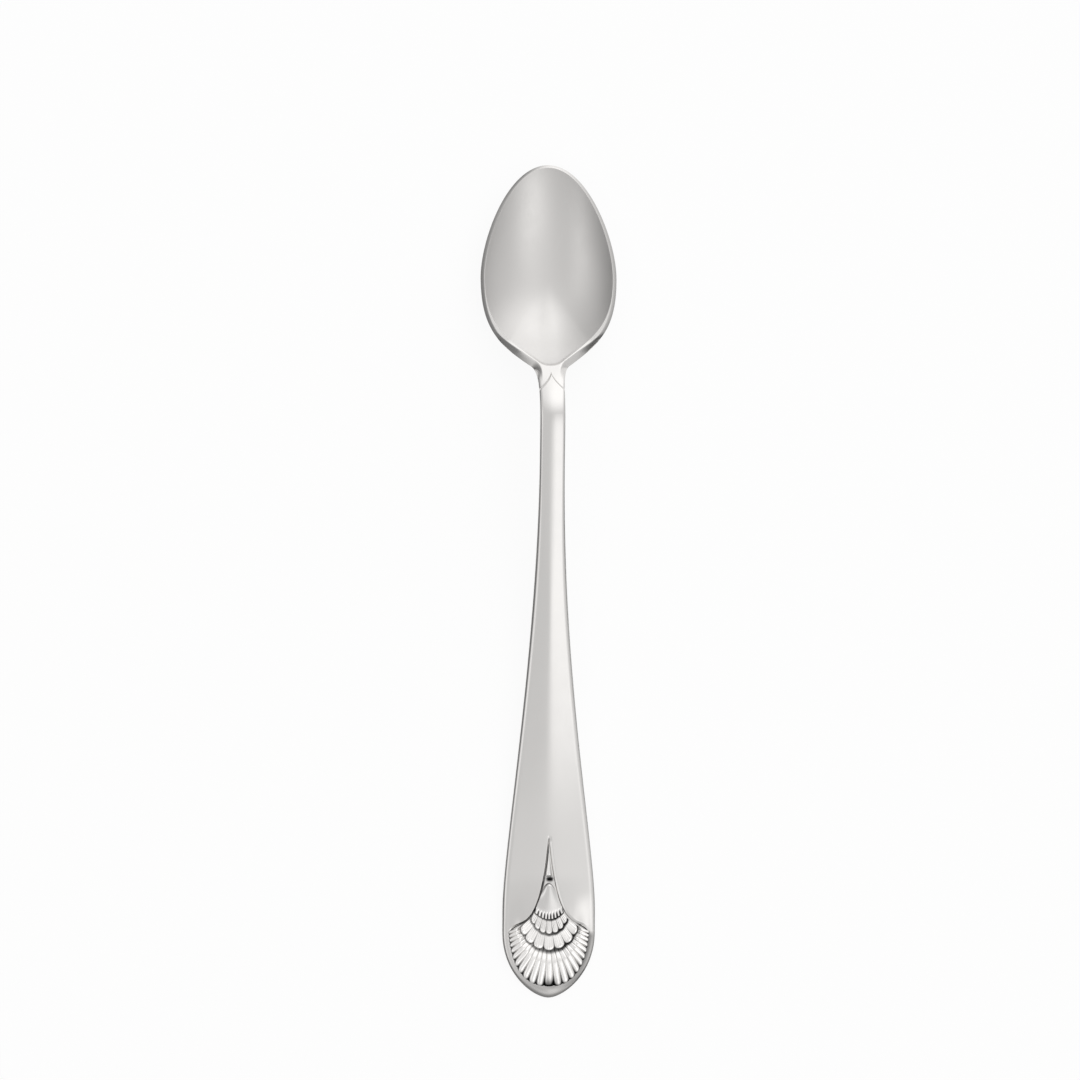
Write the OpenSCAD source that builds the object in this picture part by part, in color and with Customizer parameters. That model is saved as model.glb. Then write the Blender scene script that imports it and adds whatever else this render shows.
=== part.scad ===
// Iced tea spoon, forged from one blank of stainless steel.
// It lies bowl up on a level surface: +Y runs to the front of the bowl, +Z is up.
// The origin is on that surface, under the middle of the overall box.
// A station is a distance from the tip of the handle, measured along +Y.

/* [Overall] */
// Length from the tip of the handle to the front of the bowl
overall_length = 190; // [180:1:205]

/* [Bowl] */
// Greatest width of the bowl, outside
bowl_width = 31.1; // [28:0.1:36]
// Length from the widest place to the front
bowl_front = 25.8; // [23:0.1:30]
// Length from the widest place back to the root at the neck
bowl_back = 21.6; // [20:0.1:25]
// Inside depth below the rim at the widest place
bowl_depth = 5.3; // [4.4:0.1:7.5]
// Thickness of the metal under the deepest place
bowl_wall = 1.3; // [0.9:0.05:1.8]
// Width of the flat rim between the outer edge and the dish
rim_width = 1.35; // [1:0.05:1.8]
// Height of the edge under the rim
rim_edge = 1.25; // [0.9:0.05:1.6]
// How much lower the rim is at the front than at the widest place
rim_dip = 1; // [0:0.1:2]
// How much higher the rim is at the shoulder than at the widest place
rim_rise = 0.9; // [0:0.1:2]

/* [Neck and stem] */
// Width of the stem
stem_width = 5.66; // [5:0.02:7]
// Thickness of the stem at its crest
stem_thickness = 3.4; // [2.8:0.1:4.2]
// Length of the parallel stem, from the end of the blade's taper to the neck
stem_length = 12; // [8:0.5:20]
// Length of the neck, from the parallel stem to the root of the bowl
neck_length = 7.4; // [6.5:0.1:9]
// Width of the neck where the bowl begins
root_width = 6.5; // [6:0.05:7.4]
// Thickness of the neck where the bowl begins
root_thickness = 2.9; // [2.4:0.1:3.6]
// Height of the stem's top at the crest
crest_height = 15.7; // [13:0.1:19]

/* [Handle] */
// Greatest width of the handle
handle_width = 21.2; // [19:0.1:24]
// Length of the rounded end of the handle
end_length = 15; // [13:0.1:17]
// Length of the parallel stretch before the taper
parallel_length = 5; // [3:0.1:8]
// Thickness of the blade just above the arch
blade_thickness = 2.4; // [1.9:0.1:3.2]
// Height of the soft ridge along the middle of the blade
ridge_height = 0.45; // [0.2:0.05:0.7]
// Rounding of the long edges, seen from above
edge_round = 0.45; // [0.3:0.05:0.6]
// Length of the underside that lies flat at the handle's end
rest_length = 12; // [8:0.5:14]
// Thickness of the end plate at the tip
tip_thickness = 1.35; // [1:0.05:1.8]
// Rise of the end plate from the tip to the point of the arch
end_rise = 1.6; // [1:0.1:2.4]

/* [Ornament] */
// Station of the arch's point on the handle
arch_point = 35.8; // [33:0.1:39]
// Station of the arch's feet
arch_foot = 15.3; // [15:0.1:15.8]
// Half width between the arch's feet
arch_half_width = 9; // [8.6:0.05:9.4]
// Height of the blade above the end plate inside the arch
arch_depth = 0.5; // [0.3:0.05:0.8]
// Station of the point from which the flutes spread
fan_station = 18.4; // [17.8:0.1:18.8]
// Distance from that point to the lowest end of the fan
fan_reach = 15.8; // [15:0.1:16.4]
// Distance from that point to the fan's sides
fan_side = 9.4; // [9:0.05:9.6]
// Height of the fan at its highest
fan_height = 0.8; // [0.5:0.05:1]
// Number of flutes in the fan
flute_count = 23; // [15:2:29]
// Depth of the grooves between the flutes
flute_depth = 0.3; // [0.15:0.05:0.4]
// Distance from the fan's centre to the lower scallops' edge
lower_reach = 7.5; // [6.8:0.1:8]
// Distance from the fan's centre to the upper scallops' edge
upper_reach = 3.8; // [3.4:0.1:4.2]
// Number of lobes in each row of scallops
lobe_count = 7; // [5:2:9]
// Height of the scallops at their edges
scallop_height = 0.75; // [0.5:0.05:0.9]
// Height where each row starts behind the edge above it
valley_height = 0.28; // [0.2:0.02:0.4]
// Station of the bell's top
bell_top = 26.2; // [25:0.1:27]
// Height of the bell at its lower edge
bell_height = 0.75; // [0.5:0.05:0.9]
// Station of the upper end of the rib in the spire
rib_top = 33; // [31:0.1:34]
// Station of the lower end of the rib
rib_foot = 27.6; // [27.2:0.1:29]
// Height of the rib
rib_height = 0.35; // [0.2:0.05:0.5]

/* [Hidden] */

steel = [0.78, 0.78, 0.79];
steel_dark = [0.66, 0.66, 0.68];
steel_light = [0.86, 0.86, 0.87];

// Small sizes of the neck and the bowl
crest_setback = 2.2;
shoulder_run = 7.4;
root_swell = 0.83;
root_swell_height = 0.18;
rim_round = 0.3;
rim_round_drop = 0.12;
shoulder_bevel = 1;
shoulder_bevel_height = 1.1;
dish_setback = 1.45;
stem_crown = 0.35;
stem_belly = 0.5;
blade_belly = 0.25;
arch_crown = 0.1;
blunt_tip = 0.5;
foot_slant = 0.1;

// Small sizes and spreads of the ornament
upper_spread = 90;
lower_spread = 74;
fan_spread = 71;
upper_side_reach = 0.5;
lower_side_loss = 0.5;
upper_notch = 0.5;
lower_notch = 0.75;
flute_notch = 0.28;
bell_half_top = 1;
bell_half_foot = 3.25;
bell_arc = 1.65;
bell_crown = 0.3;
bell_lift = 0.3;
fan_end_height = 0.15;
rib_half_width = 0.42;
lobe_crown = 0.26;
bell_foot = 18.05;

// Shares that shape the curves
blade_end_share = 0.5;
pad_share = 0.14;
outer_power_share = 2.5;
dish_power_share = 2.6;
outer_ring_shares = [0.14, 0.26, 0.4, 0.54, 0.68, 0.81, 0.92];
dish_ring_shares = [0.98, 0.9, 0.78, 0.65, 0.52, 0.38, 0.22];
end_ring_shares = [0.35, 0.65, 0.88];
ramp_shares = [0, 0.3, 0.62, 0.86, 1];
fan_ramp_shares = [0, 0.18, 0.4, 0.62, 0.8, 0.91, 0.97, 1];

// Stations along the spoon, each from the tip of the handle
taper_start = end_length + parallel_length;
widest = overall_length - bowl_front;
root = widest - bowl_back;
neck_start = root - neck_length;
crest = neck_start - crest_setback;
taper_end = neck_start - stem_length;
shoulder = root + shoulder_run;
blade_end = arch_point + (crest - arch_point) * blade_end_share;

// Counts of the grid, which only set how finely a curve is drawn
root_steps = 3;
shoulder_steps = 16;
front_steps = 16;
end_steps = 12;
arch_steps = 14;
blade_steps = 16;
stem_steps = 8;
neck_steps = 10;
top_steps = 6;
bottom_steps = 4;
flute_samples = 6;
rib_steps = 6;

// A cubic curve through four guide points, each [across, station or height]
function mixed(a, b, t) = a + (b - a) * t;
function curve(p, t) =
    let (u = 1 - t)
    p[0] * (u * u * u) + p[1] * (3 * u * u * t) + p[2] * (3 * u * t * t) + p[3] * (t * t * t);
// The share along a curve at which its second value reaches a station
function share_at(p, s, low = 0, high = 1, left = 26) =
    let (middle = (low + high) / 2)
    left == 0 ? middle
    : (curve(p, middle)[1] < s) ? share_at(p, s, middle, high, left - 1)
    : share_at(p, s, low, middle, left - 1);
function across(p, s) = curve(p, share_at(p, s))[0];
function ease(t) = let (u = min(1, max(0, t))) u * u * (3 - 2 * u);

// Outlines, as half widths against stations
half_handle = handle_width / 2;
half_stem = stem_width / 2;
half_root = root_width / 2;
half_bowl = bowl_width / 2;
blade_run = taper_end - taper_start;
end_curve = [[blunt_tip, 0],
             [half_handle * 0.32, 0],
             [half_handle, end_length * 0.36],
             [half_handle, end_length]];
blade_curve = [[half_handle, taper_start],
               [half_handle, taper_start + blade_run * 0.14],
               [half_stem, taper_start + blade_run * 0.54],
               [half_stem, taper_end]];
neck_curve = [[half_stem, neck_start],
              [half_stem, neck_start + neck_length * 0.5],
              [half_root - root_swell * 0.28, root - neck_length * 0.2],
              [half_root, root]];
flare_corner = [half_root + root_swell_height, root + root_swell];
shoulder_curve = [flare_corner,
                  mixed(flare_corner, [half_bowl, widest], 0.28) + [half_bowl * 0.29, 0],
                  [half_bowl, widest - bowl_back * 0.55],
                  [half_bowl, widest]];
front_curve = [[half_bowl, widest],
               [half_bowl, widest + bowl_front * 0.335],
               [half_bowl * 0.59, overall_length],
               [0, overall_length]];
dish_start = root + dish_setback;
dish_corner = [half_root + rim_width * 0.4, dish_start + rim_width];
dish_root_curve = [[0, dish_start],
                   [half_root * 0.55, dish_start],
                   [half_root * 0.8, dish_start + rim_width * 0.4],
                   dish_corner];
dish_back_curve = [dish_corner,
                   mixed(dish_corner, [half_bowl, widest], 0.25) + [half_bowl * 0.22, 0],
                   [half_bowl - rim_width, widest - bowl_back * 0.42],
                   [half_bowl - rim_width, widest]];
dish_front_curve = [[half_bowl - rim_width, widest],
                    [half_bowl - rim_width, widest + bowl_front * 0.335],
                    [(half_bowl - rim_width) * 0.59, overall_length - rim_width],
                    [0, overall_length - rim_width]];
arch_run = arch_point - arch_foot;
arch_curve = [[arch_half_width, arch_foot],
              [arch_half_width * 0.73, arch_foot + arch_run * 0.17],
              [arch_half_width * 0.24, arch_foot - arch_run * 0.09],
              [0, arch_point]];

function half_width(s) =
    s < end_length ? across(end_curve, s)
    : s < taper_start ? half_handle
    : s < taper_end ? across(blade_curve, s)
    : s < neck_start ? half_stem
    : across(neck_curve, min(s, root));

// Heights of the top along the middle, as [height, station]
plate_slope = end_rise / arch_point;
blade_start_height = tip_thickness + end_rise + arch_depth;
blade_rise_run = crest - arch_point;
rim_height = bowl_wall + bowl_depth;
blade_top_curve = [[blade_start_height, arch_point],
                   [blade_start_height + plate_slope * blade_rise_run * 0.52,
                    arch_point + blade_rise_run * 0.52],
                   [crest_height, crest - blade_rise_run * 0.08],
                   [crest_height, crest]];
crest_run = shoulder - crest;
crest_curve = [[crest_height, crest],
               [crest_height, crest + crest_run * 0.42],
               [rim_height + rim_rise * 2.1, shoulder - crest_run * 0.32],
               [rim_height + rim_rise, shoulder]];
rim_run = overall_length - shoulder;
rim_curve = [[rim_height + rim_rise, shoulder],
             [rim_height, shoulder + rim_run * 0.25],
             [rim_height - rim_dip * 1.3, overall_length - rim_run * 0.25],
             [rim_height - rim_dip, overall_length]];

function plate_height(s) = tip_thickness + plate_slope * s;
function top_line(s) =
    s < arch_point ? plate_height(s) + arch_depth
    : s < crest ? across(blade_top_curve, s)
    : s < shoulder ? across(crest_curve, s)
    : across(rim_curve, s);
function thickness(s) =
    s < crest ? mixed(blade_thickness, stem_thickness, (s - arch_point) / blade_rise_run)
    : mixed(stem_thickness, root_thickness, (s - crest) / (root - crest));
// The underside is flat at the handle's end, then runs up in one smooth curve to the blade
rest_run = arch_point - rest_length;
under_start = blade_start_height - blade_thickness;
under_slope = (top_line(arch_point + foot_slant) - top_line(arch_point)) / foot_slant;
function under_line(s) =
    s < rest_length ? 0
    : s < arch_point ? let (u = (s - rest_length) / rest_run)
        under_start * u * u * (3 - 2 * u) + under_slope * rest_run * u * u * (u - 1)
    : top_line(s) - thickness(s);
function crown(s) =
    let (blade = mixed(arch_crown, ridge_height, ease((s - arch_point) / (blade_rise_run * 0.25))))
    mixed(blade, stem_crown, ease((s - blade_end) / (taper_end - blade_end)));
function belly(s) =
    let (blade = blade_belly * ease((s - rest_length) / rest_run))
    mixed(blade, stem_belly, ease((s - arch_point) / blade_rise_run));
function top_at(x, s) = top_line(s) - crown(s) * pow(min(1, abs(x) / half_width(s)), 1.6);
function under_at(x, s) = under_line(s) + belly(s) * pow(min(1, abs(x) / half_width(s)), 2);

// A point in the part's frame from its place across, station and height
function at(x, s, z) = [x, s - overall_length / 2, z];

// Triangles between two loops of m points that start at numbers a and b
function band(a, b, m, last) = [
    for (j = [0 : last]) let (k = (j + 1) % m) each [[a + j, b + j, b + k], [a + j, b + k, a + k]]
];
function cap(a, m, turned) = [
    for (j = [1 : m - 2]) turned ? [a, a + j + 1, a + j] : [a, a + j, a + j + 1]
];
// A cap for a loop whose second half runs back under its first half
function paired_cap(a, m, turned) = [
    for (j = [0 : m / 2 - 2])
        let (b = m - 1 - j)
        each turned ? [[a + j, a + b, a + b - 1], [a + j, a + b - 1, a + j + 1]]
                    : [[a + j, a + b - 1, a + b], [a + j, a + j + 1, a + b - 1]]
];

// A closed solid through a list of loops, with a flat cap on the first and the last
module lofted(loops, paired = false) {
    m = len(loops[0]);
    n = len(loops);
    points = [for (loop = loops) each loop];
    sides = [for (i = [0 : n - 2]) each band(i * m, i * m + m, m, m - 1)];
    first = paired ? paired_cap(0, m, false) : cap(0, m, false);
    last = paired ? paired_cap(n * m - m, m, true) : cap(n * m - m, m, true);
    polyhedron(points, concat(sides, first, last));
}

// A closed solid through rings, from a pole under the first to a pole over the last
module ringed(rings, low_pole, high_pole) {
    m = len(rings[0]);
    n = len(rings);
    points = concat([for (ring = rings) each ring], [low_pole, high_pole]);
    sides = [for (i = [0 : n - 2]) each band(i * m, i * m + m, m, m - 1)];
    low = [for (j = [0 : m - 1]) [n * m, j, (j + 1) % m]];
    high = [for (j = [0 : m - 1]) [n * m + 1, n * m - m + (j + 1) % m, n * m - m + j]];
    polyhedron(points, concat(sides, low, high));
}

// One cross section of the stem or the neck, seen from the bowl
function section(s) =
    let (w = half_width(s), flat = w - edge_round)
    concat(
        [for (j = [-top_steps : top_steps]) let (x = flat * j / top_steps) at(x, s, top_at(x, s))],
        [at(w, s, (top_at(flat, s) + under_at(flat, s)) / 2)],
        [for (j = [bottom_steps : -1 : -bottom_steps])
            let (x = flat * j / bottom_steps) at(x, s, under_at(x, s))],
        [at(-w, s, (top_at(flat, s) + under_at(flat, s)) / 2)]);

// Mirrored copy of a half outline, joined to it in one closed ring
function whole(half) = concat(half, [for (i = [len(half) - 2 : -1 : 1]) [-half[i][0], half[i][1]]]);
function joined(half) =
    concat(half, [for (i = [len(half) - 2 : -1 : 1]) [-half[i][0], half[i][1], half[i][2]]]);
function shifted(p) = at(p[0], p[1], p[2]);
// The inward direction at point i of a half outline
function inward(half, i) =
    let (n = len(half) - 1,
         before = i == 0 ? [-half[1][0], half[1][1]] : half[i - 1],
         after = i == n ? [-half[n - 1][0], half[n - 1][1]] : half[i + 1],
         d = after - before)
    [-d[1], d[0]] / norm(d);

// The bowl: outer skin, edge, flat rim and dish, as rings round the deepest place
bowl_half = concat(
    [for (i = [0 : root_steps]) [half_root * i / root_steps, root]],
    [for (i = [0 : shoulder_steps - 1]) curve(shoulder_curve, i / shoulder_steps)],
    [for (i = [0 : front_steps]) curve(front_curve, i / front_steps)]);
dish_half = concat(
    [for (i = [0 : root_steps]) curve(dish_root_curve, i / (root_steps + 1))],
    [for (i = [0 : shoulder_steps - 1]) curve(dish_back_curve, i / shoulder_steps)],
    [for (i = [0 : front_steps]) curve(dish_front_curve, i / front_steps)]);
function near_root(s) = 1 - ease((s - root) / shoulder_run);
function bevel(s) = near_root(s) * ease((s - root) / root_swell);
function edge_under(s) = top_line(s) - mixed(rim_edge, root_thickness, near_root(s));
// Rings of the edge: level 0 is its lower corner, 1 its outermost line, 2 its upper corner
function edge_point(i, level) =
    let (p = bowl_half[i],
         s = p[1],
         in_root = i <= root_steps,
         flat_share = (half_root - edge_round) / half_root,
         way = in_root ? [0, 0] : inward(bowl_half, i),
         low = in_root ? under_at(p[0], root) : edge_under(s),
         high = in_root ? top_at(p[0], root) : top_line(s) - rim_round_drop,
         middle = (low + high) / 2 - bevel(s) * shoulder_bevel_height / 2,
         inset = level == 0 ? rim_round : level == 2 ? rim_round + shoulder_bevel * bevel(s) : 0,
         x = in_root ? (level == 1 ? p[0] : p[0] * flat_share) : p[0] + way[0] * inset,
         y = in_root ? root : s + way[1] * inset)
    [max(0, x), y, level == 0 ? low : level == 1 ? middle : high];
last_point = len(bowl_half) - 1;
edge_low = [for (i = [0 : last_point]) edge_point(i, 0)];
edge_middle = [for (i = [0 : last_point]) edge_point(i, 1)];
edge_high = [for (i = [0 : last_point]) edge_point(i, 2)];
dish_edge = [for (p = dish_half) [p[0], p[1], top_line(p[1])]];
function outer_ring(r) =
    [for (p = edge_low)
        [p[0] * r, mixed(widest, p[1], r),
         p[2] * pow(max(0, (r - pad_share) / (1 - pad_share)), outer_power_share)]];
function dish_ring(r) =
    [for (p = dish_edge)
        [p[0] * r, mixed(widest, p[1], r), mixed(bowl_wall, p[2], pow(r, dish_power_share))]];

module bowl() {
    halves = concat([for (r = outer_ring_shares) outer_ring(r)],
                    [edge_low, edge_middle, edge_high, dish_edge],
                    [for (r = dish_ring_shares) dish_ring(r)]);
    rings = [for (half = halves) [for (p = joined(half)) shifted(p)]];
    color(steel) ringed(rings, at(0, widest, 0), at(0, widest, bowl_wall));
}

module neck() {
    color(steel_light)
        lofted([for (i = [0 : neck_steps]) section(mixed(crest, root, i / neck_steps))]);
}

module stem() {
    color(steel)
        lofted([for (i = [0 : stem_steps]) section(mixed(blade_end, crest, i / stem_steps))]);
}

// Stations of the arch's points, from its feet to its tip
function arch_share(i) = i / arch_steps;
arch_places = [for (i = [0 : arch_steps]) curve(arch_curve, arch_share(i))];
blade_places = [for (i = [1 : blade_steps]) [0, mixed(arch_point, blade_end, i / blade_steps)]];

// The right half of one section of the blade, outside the arch
function blade_section(place, first) =
    let (a = place[0],
         s = place[1],
         w = half_width(s),
         flat = w - edge_round,
         slant = first ? foot_slant / (w - a) : 0,
         middle = (top_at(flat, s) + under_at(flat, s)) / 2)
    concat(
        [for (j = [0 : top_steps]) let (x = mixed(a, flat, j / top_steps))
            at(x, s - slant * (x - a), top_at(x, s))],
        [at(w, s - slant * (w - a), middle)],
        [for (j = [bottom_steps : -1 : 0]) let (x = mixed(a, flat, j / bottom_steps))
            at(x, s - slant * (x - a), under_at(x, s))]);

// The blade has two legs beside the arch, which join at its point
module handle() {
    places = concat(arch_places, blade_places);
    rows = [for (i = [0 : len(places) - 1]) blade_section(places[i], i == 0)];
    m = len(rows[0]);
    n = len(rows);
    count = m * n;
    right = [for (row = rows) each row];
    left = [for (p = right) [-p[0], p[1], p[2]]];
    // Past the arch's point, the two halves share the points on the middle line
    shared = [for (i = [0 : n - 1]) for (j = [0 : m - 1])
        (i >= arch_steps && (j == 0 || j == m - 1)) ? i * m + j : count + i * m + j];
    skin = [for (i = [0 : n - 2]) each band(i * m, i * m + m, m, i < arch_steps ? m - 1 : m - 2)];
    faces = concat(skin, cap(0, m, false), cap(count - m, m, true));
    mirrored = [for (f = faces) [shared[f[0]], shared[f[2]], shared[f[1]]]];
    color(steel) polyhedron(concat(right, left), concat(faces, mirrored));
}

// The end plate: a rounded end whose upper part fills the arch, with a level top
end_outline = concat([[0, 0]], [for (i = [0 : end_steps]) curve(end_curve, i / end_steps)]);
foot_place = [half_handle, arch_foot - foot_slant];
end_half = concat(end_outline, [foot_place], arch_places);
end_centre = rest_length;
function end_point(i, level) =
    let (p = end_half[i],
         foot = len(end_outline),
         way = i > foot ? [0, 0] : i == foot ? [-1, 0] : inward(end_half, i),
         inset = level == 1 ? 0 : edge_round,
         x = max(0, p[0] + way[0] * inset),
         s = p[1] + way[1] * inset,
         low = under_at(x, s),
         high = plate_height(s))
    [x, s, level == 0 ? low : level == 1 ? (low + high) / 2 : high];
function end_ring(r) =
    [for (i = [0 : len(end_half) - 1])
        let (p = end_point(i, 0), x = p[0] * r, s = mixed(end_centre, p[1], r))
        [x, s, under_at(x, s)]];

module handle_end() {
    last = len(end_half) - 1;
    halves = concat([for (r = end_ring_shares) end_ring(r)],
                    [for (level = [0 : 2]) [for (i = [0 : last]) end_point(i, level)]]);
    rings = [for (half = halves) [for (p = joined(half)) shifted(p)]];
    color(steel_dark)
        ringed(rings, at(0, end_centre, 0), at(0, end_centre, plate_height(end_centre)));
}

// Ornament. Each row is laid between an inner and an outer curve, on the end plate.
// u runs from -1 on the left to 1 on the right, and q from 0 inside to 1 outside.
function polar(angle, r) = [r * sin(angle), fan_station - r * cos(angle)];
// Place within a lobe, from -1 to 1
function in_lobe(u, count) = let (v = (u + 1) / 2 * count) 2 * (v - floor(min(v, count - 0.001))) - 1;
function bulge(v) = sqrt(max(0, 1 - v * v * 0.92));
// Flutes grow narrower towards the sides, so their place runs ahead of the angle
fan_narrowing_share = 1.2;
function fan_angle(u) =
    let (middle = 1 / flute_count, a = abs(u))
    fan_spread * sign(u) * (a < middle ? a * 1.36
        : mixed(middle * 1.36, 1,
                1 - pow(1 - (a - middle) / (1 - middle), fan_narrowing_share)));
function fan_outline(angle) =
    pow(pow(abs(sin(angle)) / fan_side, 2.45) + pow(cos(angle) / fan_reach, 2.45), -1 / 2.45);

function bell_edge(u) = [bell_half_foot * u, bell_foot + bell_arc * u * u];
function upper_edge(u) =
    polar(upper_spread * u, upper_reach + upper_side_reach * pow(u, 4)
          - upper_notch * (1 - bulge(in_lobe(u, lobe_count))));
function lower_edge(u) =
    polar(lower_spread * u, lower_reach - lower_side_loss * u * u
          - lower_notch * (1 - bulge(in_lobe(u, lobe_count))));
function fan_edge(u) =
    polar(fan_angle(u), fan_outline(fan_angle(u))
          - flute_notch * (1 - bulge(in_lobe(u, flute_count))));

// Samples of u: the ends and a few places inside each lobe or flute
sample_count = flute_count * flute_samples;
samples = [for (i = [0 : sample_count]) 2 * i / sample_count - 1];

// One slice through a row of the ornament: up the inner wall, along the top, down the outer one
function slice(inner, outer, shares, heights) =
    let (last = len(shares) - 1)
    concat([at(inner[0], inner[1], plate_height(inner[1]))],
           [for (k = [0 : last])
                let (p = mixed(inner, outer, shares[k])) at(p[0], p[1], plate_height(p[1]) + heights[k])],
           [at(outer[0], outer[1], plate_height(outer[1]))]);
function scallop_heights(u, tall) =
    let (v = in_lobe(u, lobe_count))
    [for (q = ramp_shares)
        mixed(valley_height, tall, pow(q, 0.8)) - lobe_crown * v * v * q];
function fan_heights(u) =
    let (v = in_lobe(u, flute_count))
    [for (q = fan_ramp_shares)
        let (rise = mixed(valley_height, fan_height, pow(min(1, q / 0.8), 0.9)),
             fall = q < 0.8 ? 0 : pow((q - 0.8) / 0.2, 2.4))
        mixed(rise, fan_end_height + flute_depth, fall) - flute_depth * v * v * min(1, q * 2.5 + 0.35)];

module fan() {
    color(steel_light) lofted([for (u = samples)
        slice(lower_edge(u), fan_edge(u), fan_ramp_shares, fan_heights(u))]);
}

module lower_scallops() {
    color(steel) lofted([for (u = samples)
        slice(upper_edge(u), lower_edge(u), ramp_shares, scallop_heights(u, scallop_height))]);
}

module upper_scallops() {
    color(steel_light) lofted([for (u = samples)
        slice(bell_edge(u), upper_edge(u), ramp_shares, scallop_heights(u, scallop_height))]);
}

// The bell hangs from a narrow rounded top and widens to its lower edge
function bell_side(q) = mixed(bell_half_top, bell_half_foot, pow(q, 1.3));
function bell_rim_top(u) = [bell_half_top * u, bell_top - bell_lift * u * u];
function bell_place(u, q) =
    [bell_side(q) * u, mixed(bell_rim_top(u)[1], bell_edge(u)[1], q)];
function bell_slice(u) =
    let (last = len(ramp_shares) - 1)
    concat([for (k = [0 : last])
                let (q = ramp_shares[k], p = bell_place(u, q))
                at(p[0], p[1], plate_height(p[1]) + mixed(valley_height, bell_height, q)
                   + bell_crown * (1 - u * u) * (1 - q))],
           [for (k = [last : -1 : 0])
                let (p = bell_place(u, ramp_shares[k])) at(p[0], p[1], plate_height(p[1]))]);

module bell() {
    color(steel) lofted([for (u = samples) bell_slice(u)], paired = true);
}

// The rib is a low ridge that narrows to a point in the spire
module spire_rib() {
    loops = [for (i = [0 : rib_steps])
        let (q = i / rib_steps,
             s = mixed(rib_foot, rib_top, q),
             w = rib_half_width * (1 - 0.8 * q),
             h = plate_height(s))
        [at(-w, s, h), at(-w * 0.55, s, h + rib_height * 0.7),
         at(0, s, h + rib_height * (1 - 0.5 * q)),
         at(w * 0.55, s, h + rib_height * 0.7 * (1 - 0.5 * q)), at(w, s, h)]];
    color(steel_light) lofted(loops);
}

bowl();
neck();
stem();
handle();
handle_end();
fan();
lower_scallops();
upper_scallops();
bell();
spire_rib();
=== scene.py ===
"""Iced tea spoon in polished stainless steel, lying bowl up on a pale table.

The spoon is one forging. Its surface is worked out as a grid of rows along the spoon and
columns across it, in millimetres, with formulas like those of the solids.
A station is a distance from the tip of the handle, measured towards the front of the bowl.
"""
import math

import bpy
import numpy as np
from mathutils import Matrix, Vector


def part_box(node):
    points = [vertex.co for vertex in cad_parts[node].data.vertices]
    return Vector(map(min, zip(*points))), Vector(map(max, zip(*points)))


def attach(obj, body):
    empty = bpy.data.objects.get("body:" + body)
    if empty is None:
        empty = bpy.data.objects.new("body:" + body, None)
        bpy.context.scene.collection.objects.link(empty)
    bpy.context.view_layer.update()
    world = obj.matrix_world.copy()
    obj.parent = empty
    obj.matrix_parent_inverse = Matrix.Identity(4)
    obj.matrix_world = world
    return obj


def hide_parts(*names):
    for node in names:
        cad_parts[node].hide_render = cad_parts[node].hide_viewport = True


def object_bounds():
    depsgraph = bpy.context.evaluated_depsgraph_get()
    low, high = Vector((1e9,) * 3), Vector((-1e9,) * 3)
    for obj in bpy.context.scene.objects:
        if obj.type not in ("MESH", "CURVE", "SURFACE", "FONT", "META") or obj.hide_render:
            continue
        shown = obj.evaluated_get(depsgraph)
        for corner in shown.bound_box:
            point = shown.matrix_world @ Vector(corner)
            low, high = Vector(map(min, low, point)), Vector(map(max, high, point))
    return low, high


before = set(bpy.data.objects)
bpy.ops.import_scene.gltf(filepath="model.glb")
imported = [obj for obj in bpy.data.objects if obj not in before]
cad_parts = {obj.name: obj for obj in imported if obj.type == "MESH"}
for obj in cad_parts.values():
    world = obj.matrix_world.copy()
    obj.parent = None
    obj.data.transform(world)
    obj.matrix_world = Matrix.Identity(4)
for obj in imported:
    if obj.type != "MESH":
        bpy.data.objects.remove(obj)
CAD_BOX = [list(corner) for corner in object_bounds()]

MM = 0.001

# Sizes of the whole spoon, read from the frame, in millimetres
LENGTH = (CAD_BOX[1][1] - CAD_BOX[0][1]) / MM
HALF_BOWL = CAD_BOX[1][0] / MM
CREST_HEIGHT = CAD_BOX[1][2] / MM


def node_box(node):
    """Lowest and highest corner of a node in millimetres, with stations in place of y."""
    low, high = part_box(node)
    shift = np.array([0.0, LENGTH / 2, 0.0])
    return np.array(low) / MM + shift, np.array(high) / MM + shift


ROOT = node_box("bowl")[0][1]
CREST = node_box("neck")[0][1]
BLADE_END = node_box("handle")[1][1]
HALF_HANDLE = node_box("handle_end")[1][0]
ARCH_POINT = node_box("handle_end")[1][1]
RIB_FOOT, RIB_TOP = node_box("spire_rib")[0][1], node_box("spire_rib")[1][1]

# Sizes that no box gives, as in the solids
BOWL_FRONT = 25.8
BOWL_DEPTH = 5.3
BOWL_WALL = 1.3
RIM_EDGE = 1.25
RIM_DIP = 1.0
RIM_RISE = 0.9
HALF_STEM = 2.83
STEM_THICKNESS = 3.4
ROOT_THICKNESS = 2.9
END_LENGTH = 15.0
PARALLEL_LENGTH = 5.0
STEM_LENGTH = 12.0
BLADE_THICKNESS = 2.4
RIDGE_HEIGHT = 0.45
REST_LENGTH = 12.0
TIP_THICKNESS = 1.35
END_RISE = 1.6
ARCH_FOOT = 15.3
ARCH_HALF_WIDTH = 9.0
ARCH_DEPTH = 0.5
STEM_CROWN = 0.35
STEM_BELLY = 0.5
BLADE_BELLY = 0.25
SHOULDER_RUN = 7.4
CREST_SETBACK = 2.2

# Sizes that were tuned for the eye, and differ a little from the solids' own
RIM_WIDTH = 0.9
FRONT_RIM_WIDTH = 0.62
DISH_SETBACK = 1.55
ARCH_CROWN = 0.18

WIDEST = LENGTH - BOWL_FRONT
SHOULDER = ROOT + SHOULDER_RUN
TAPER_START = END_LENGTH + PARALLEL_LENGTH
NECK_START = CREST + CREST_SETBACK
TAPER_END = NECK_START - STEM_LENGTH
RIM_HEIGHT = BOWL_WALL + BOWL_DEPTH

# Small forms that only the eye needs, in millimetres. A lead is how far before its place a
# blend starts, and a run or a width is how long it goes on.

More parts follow.
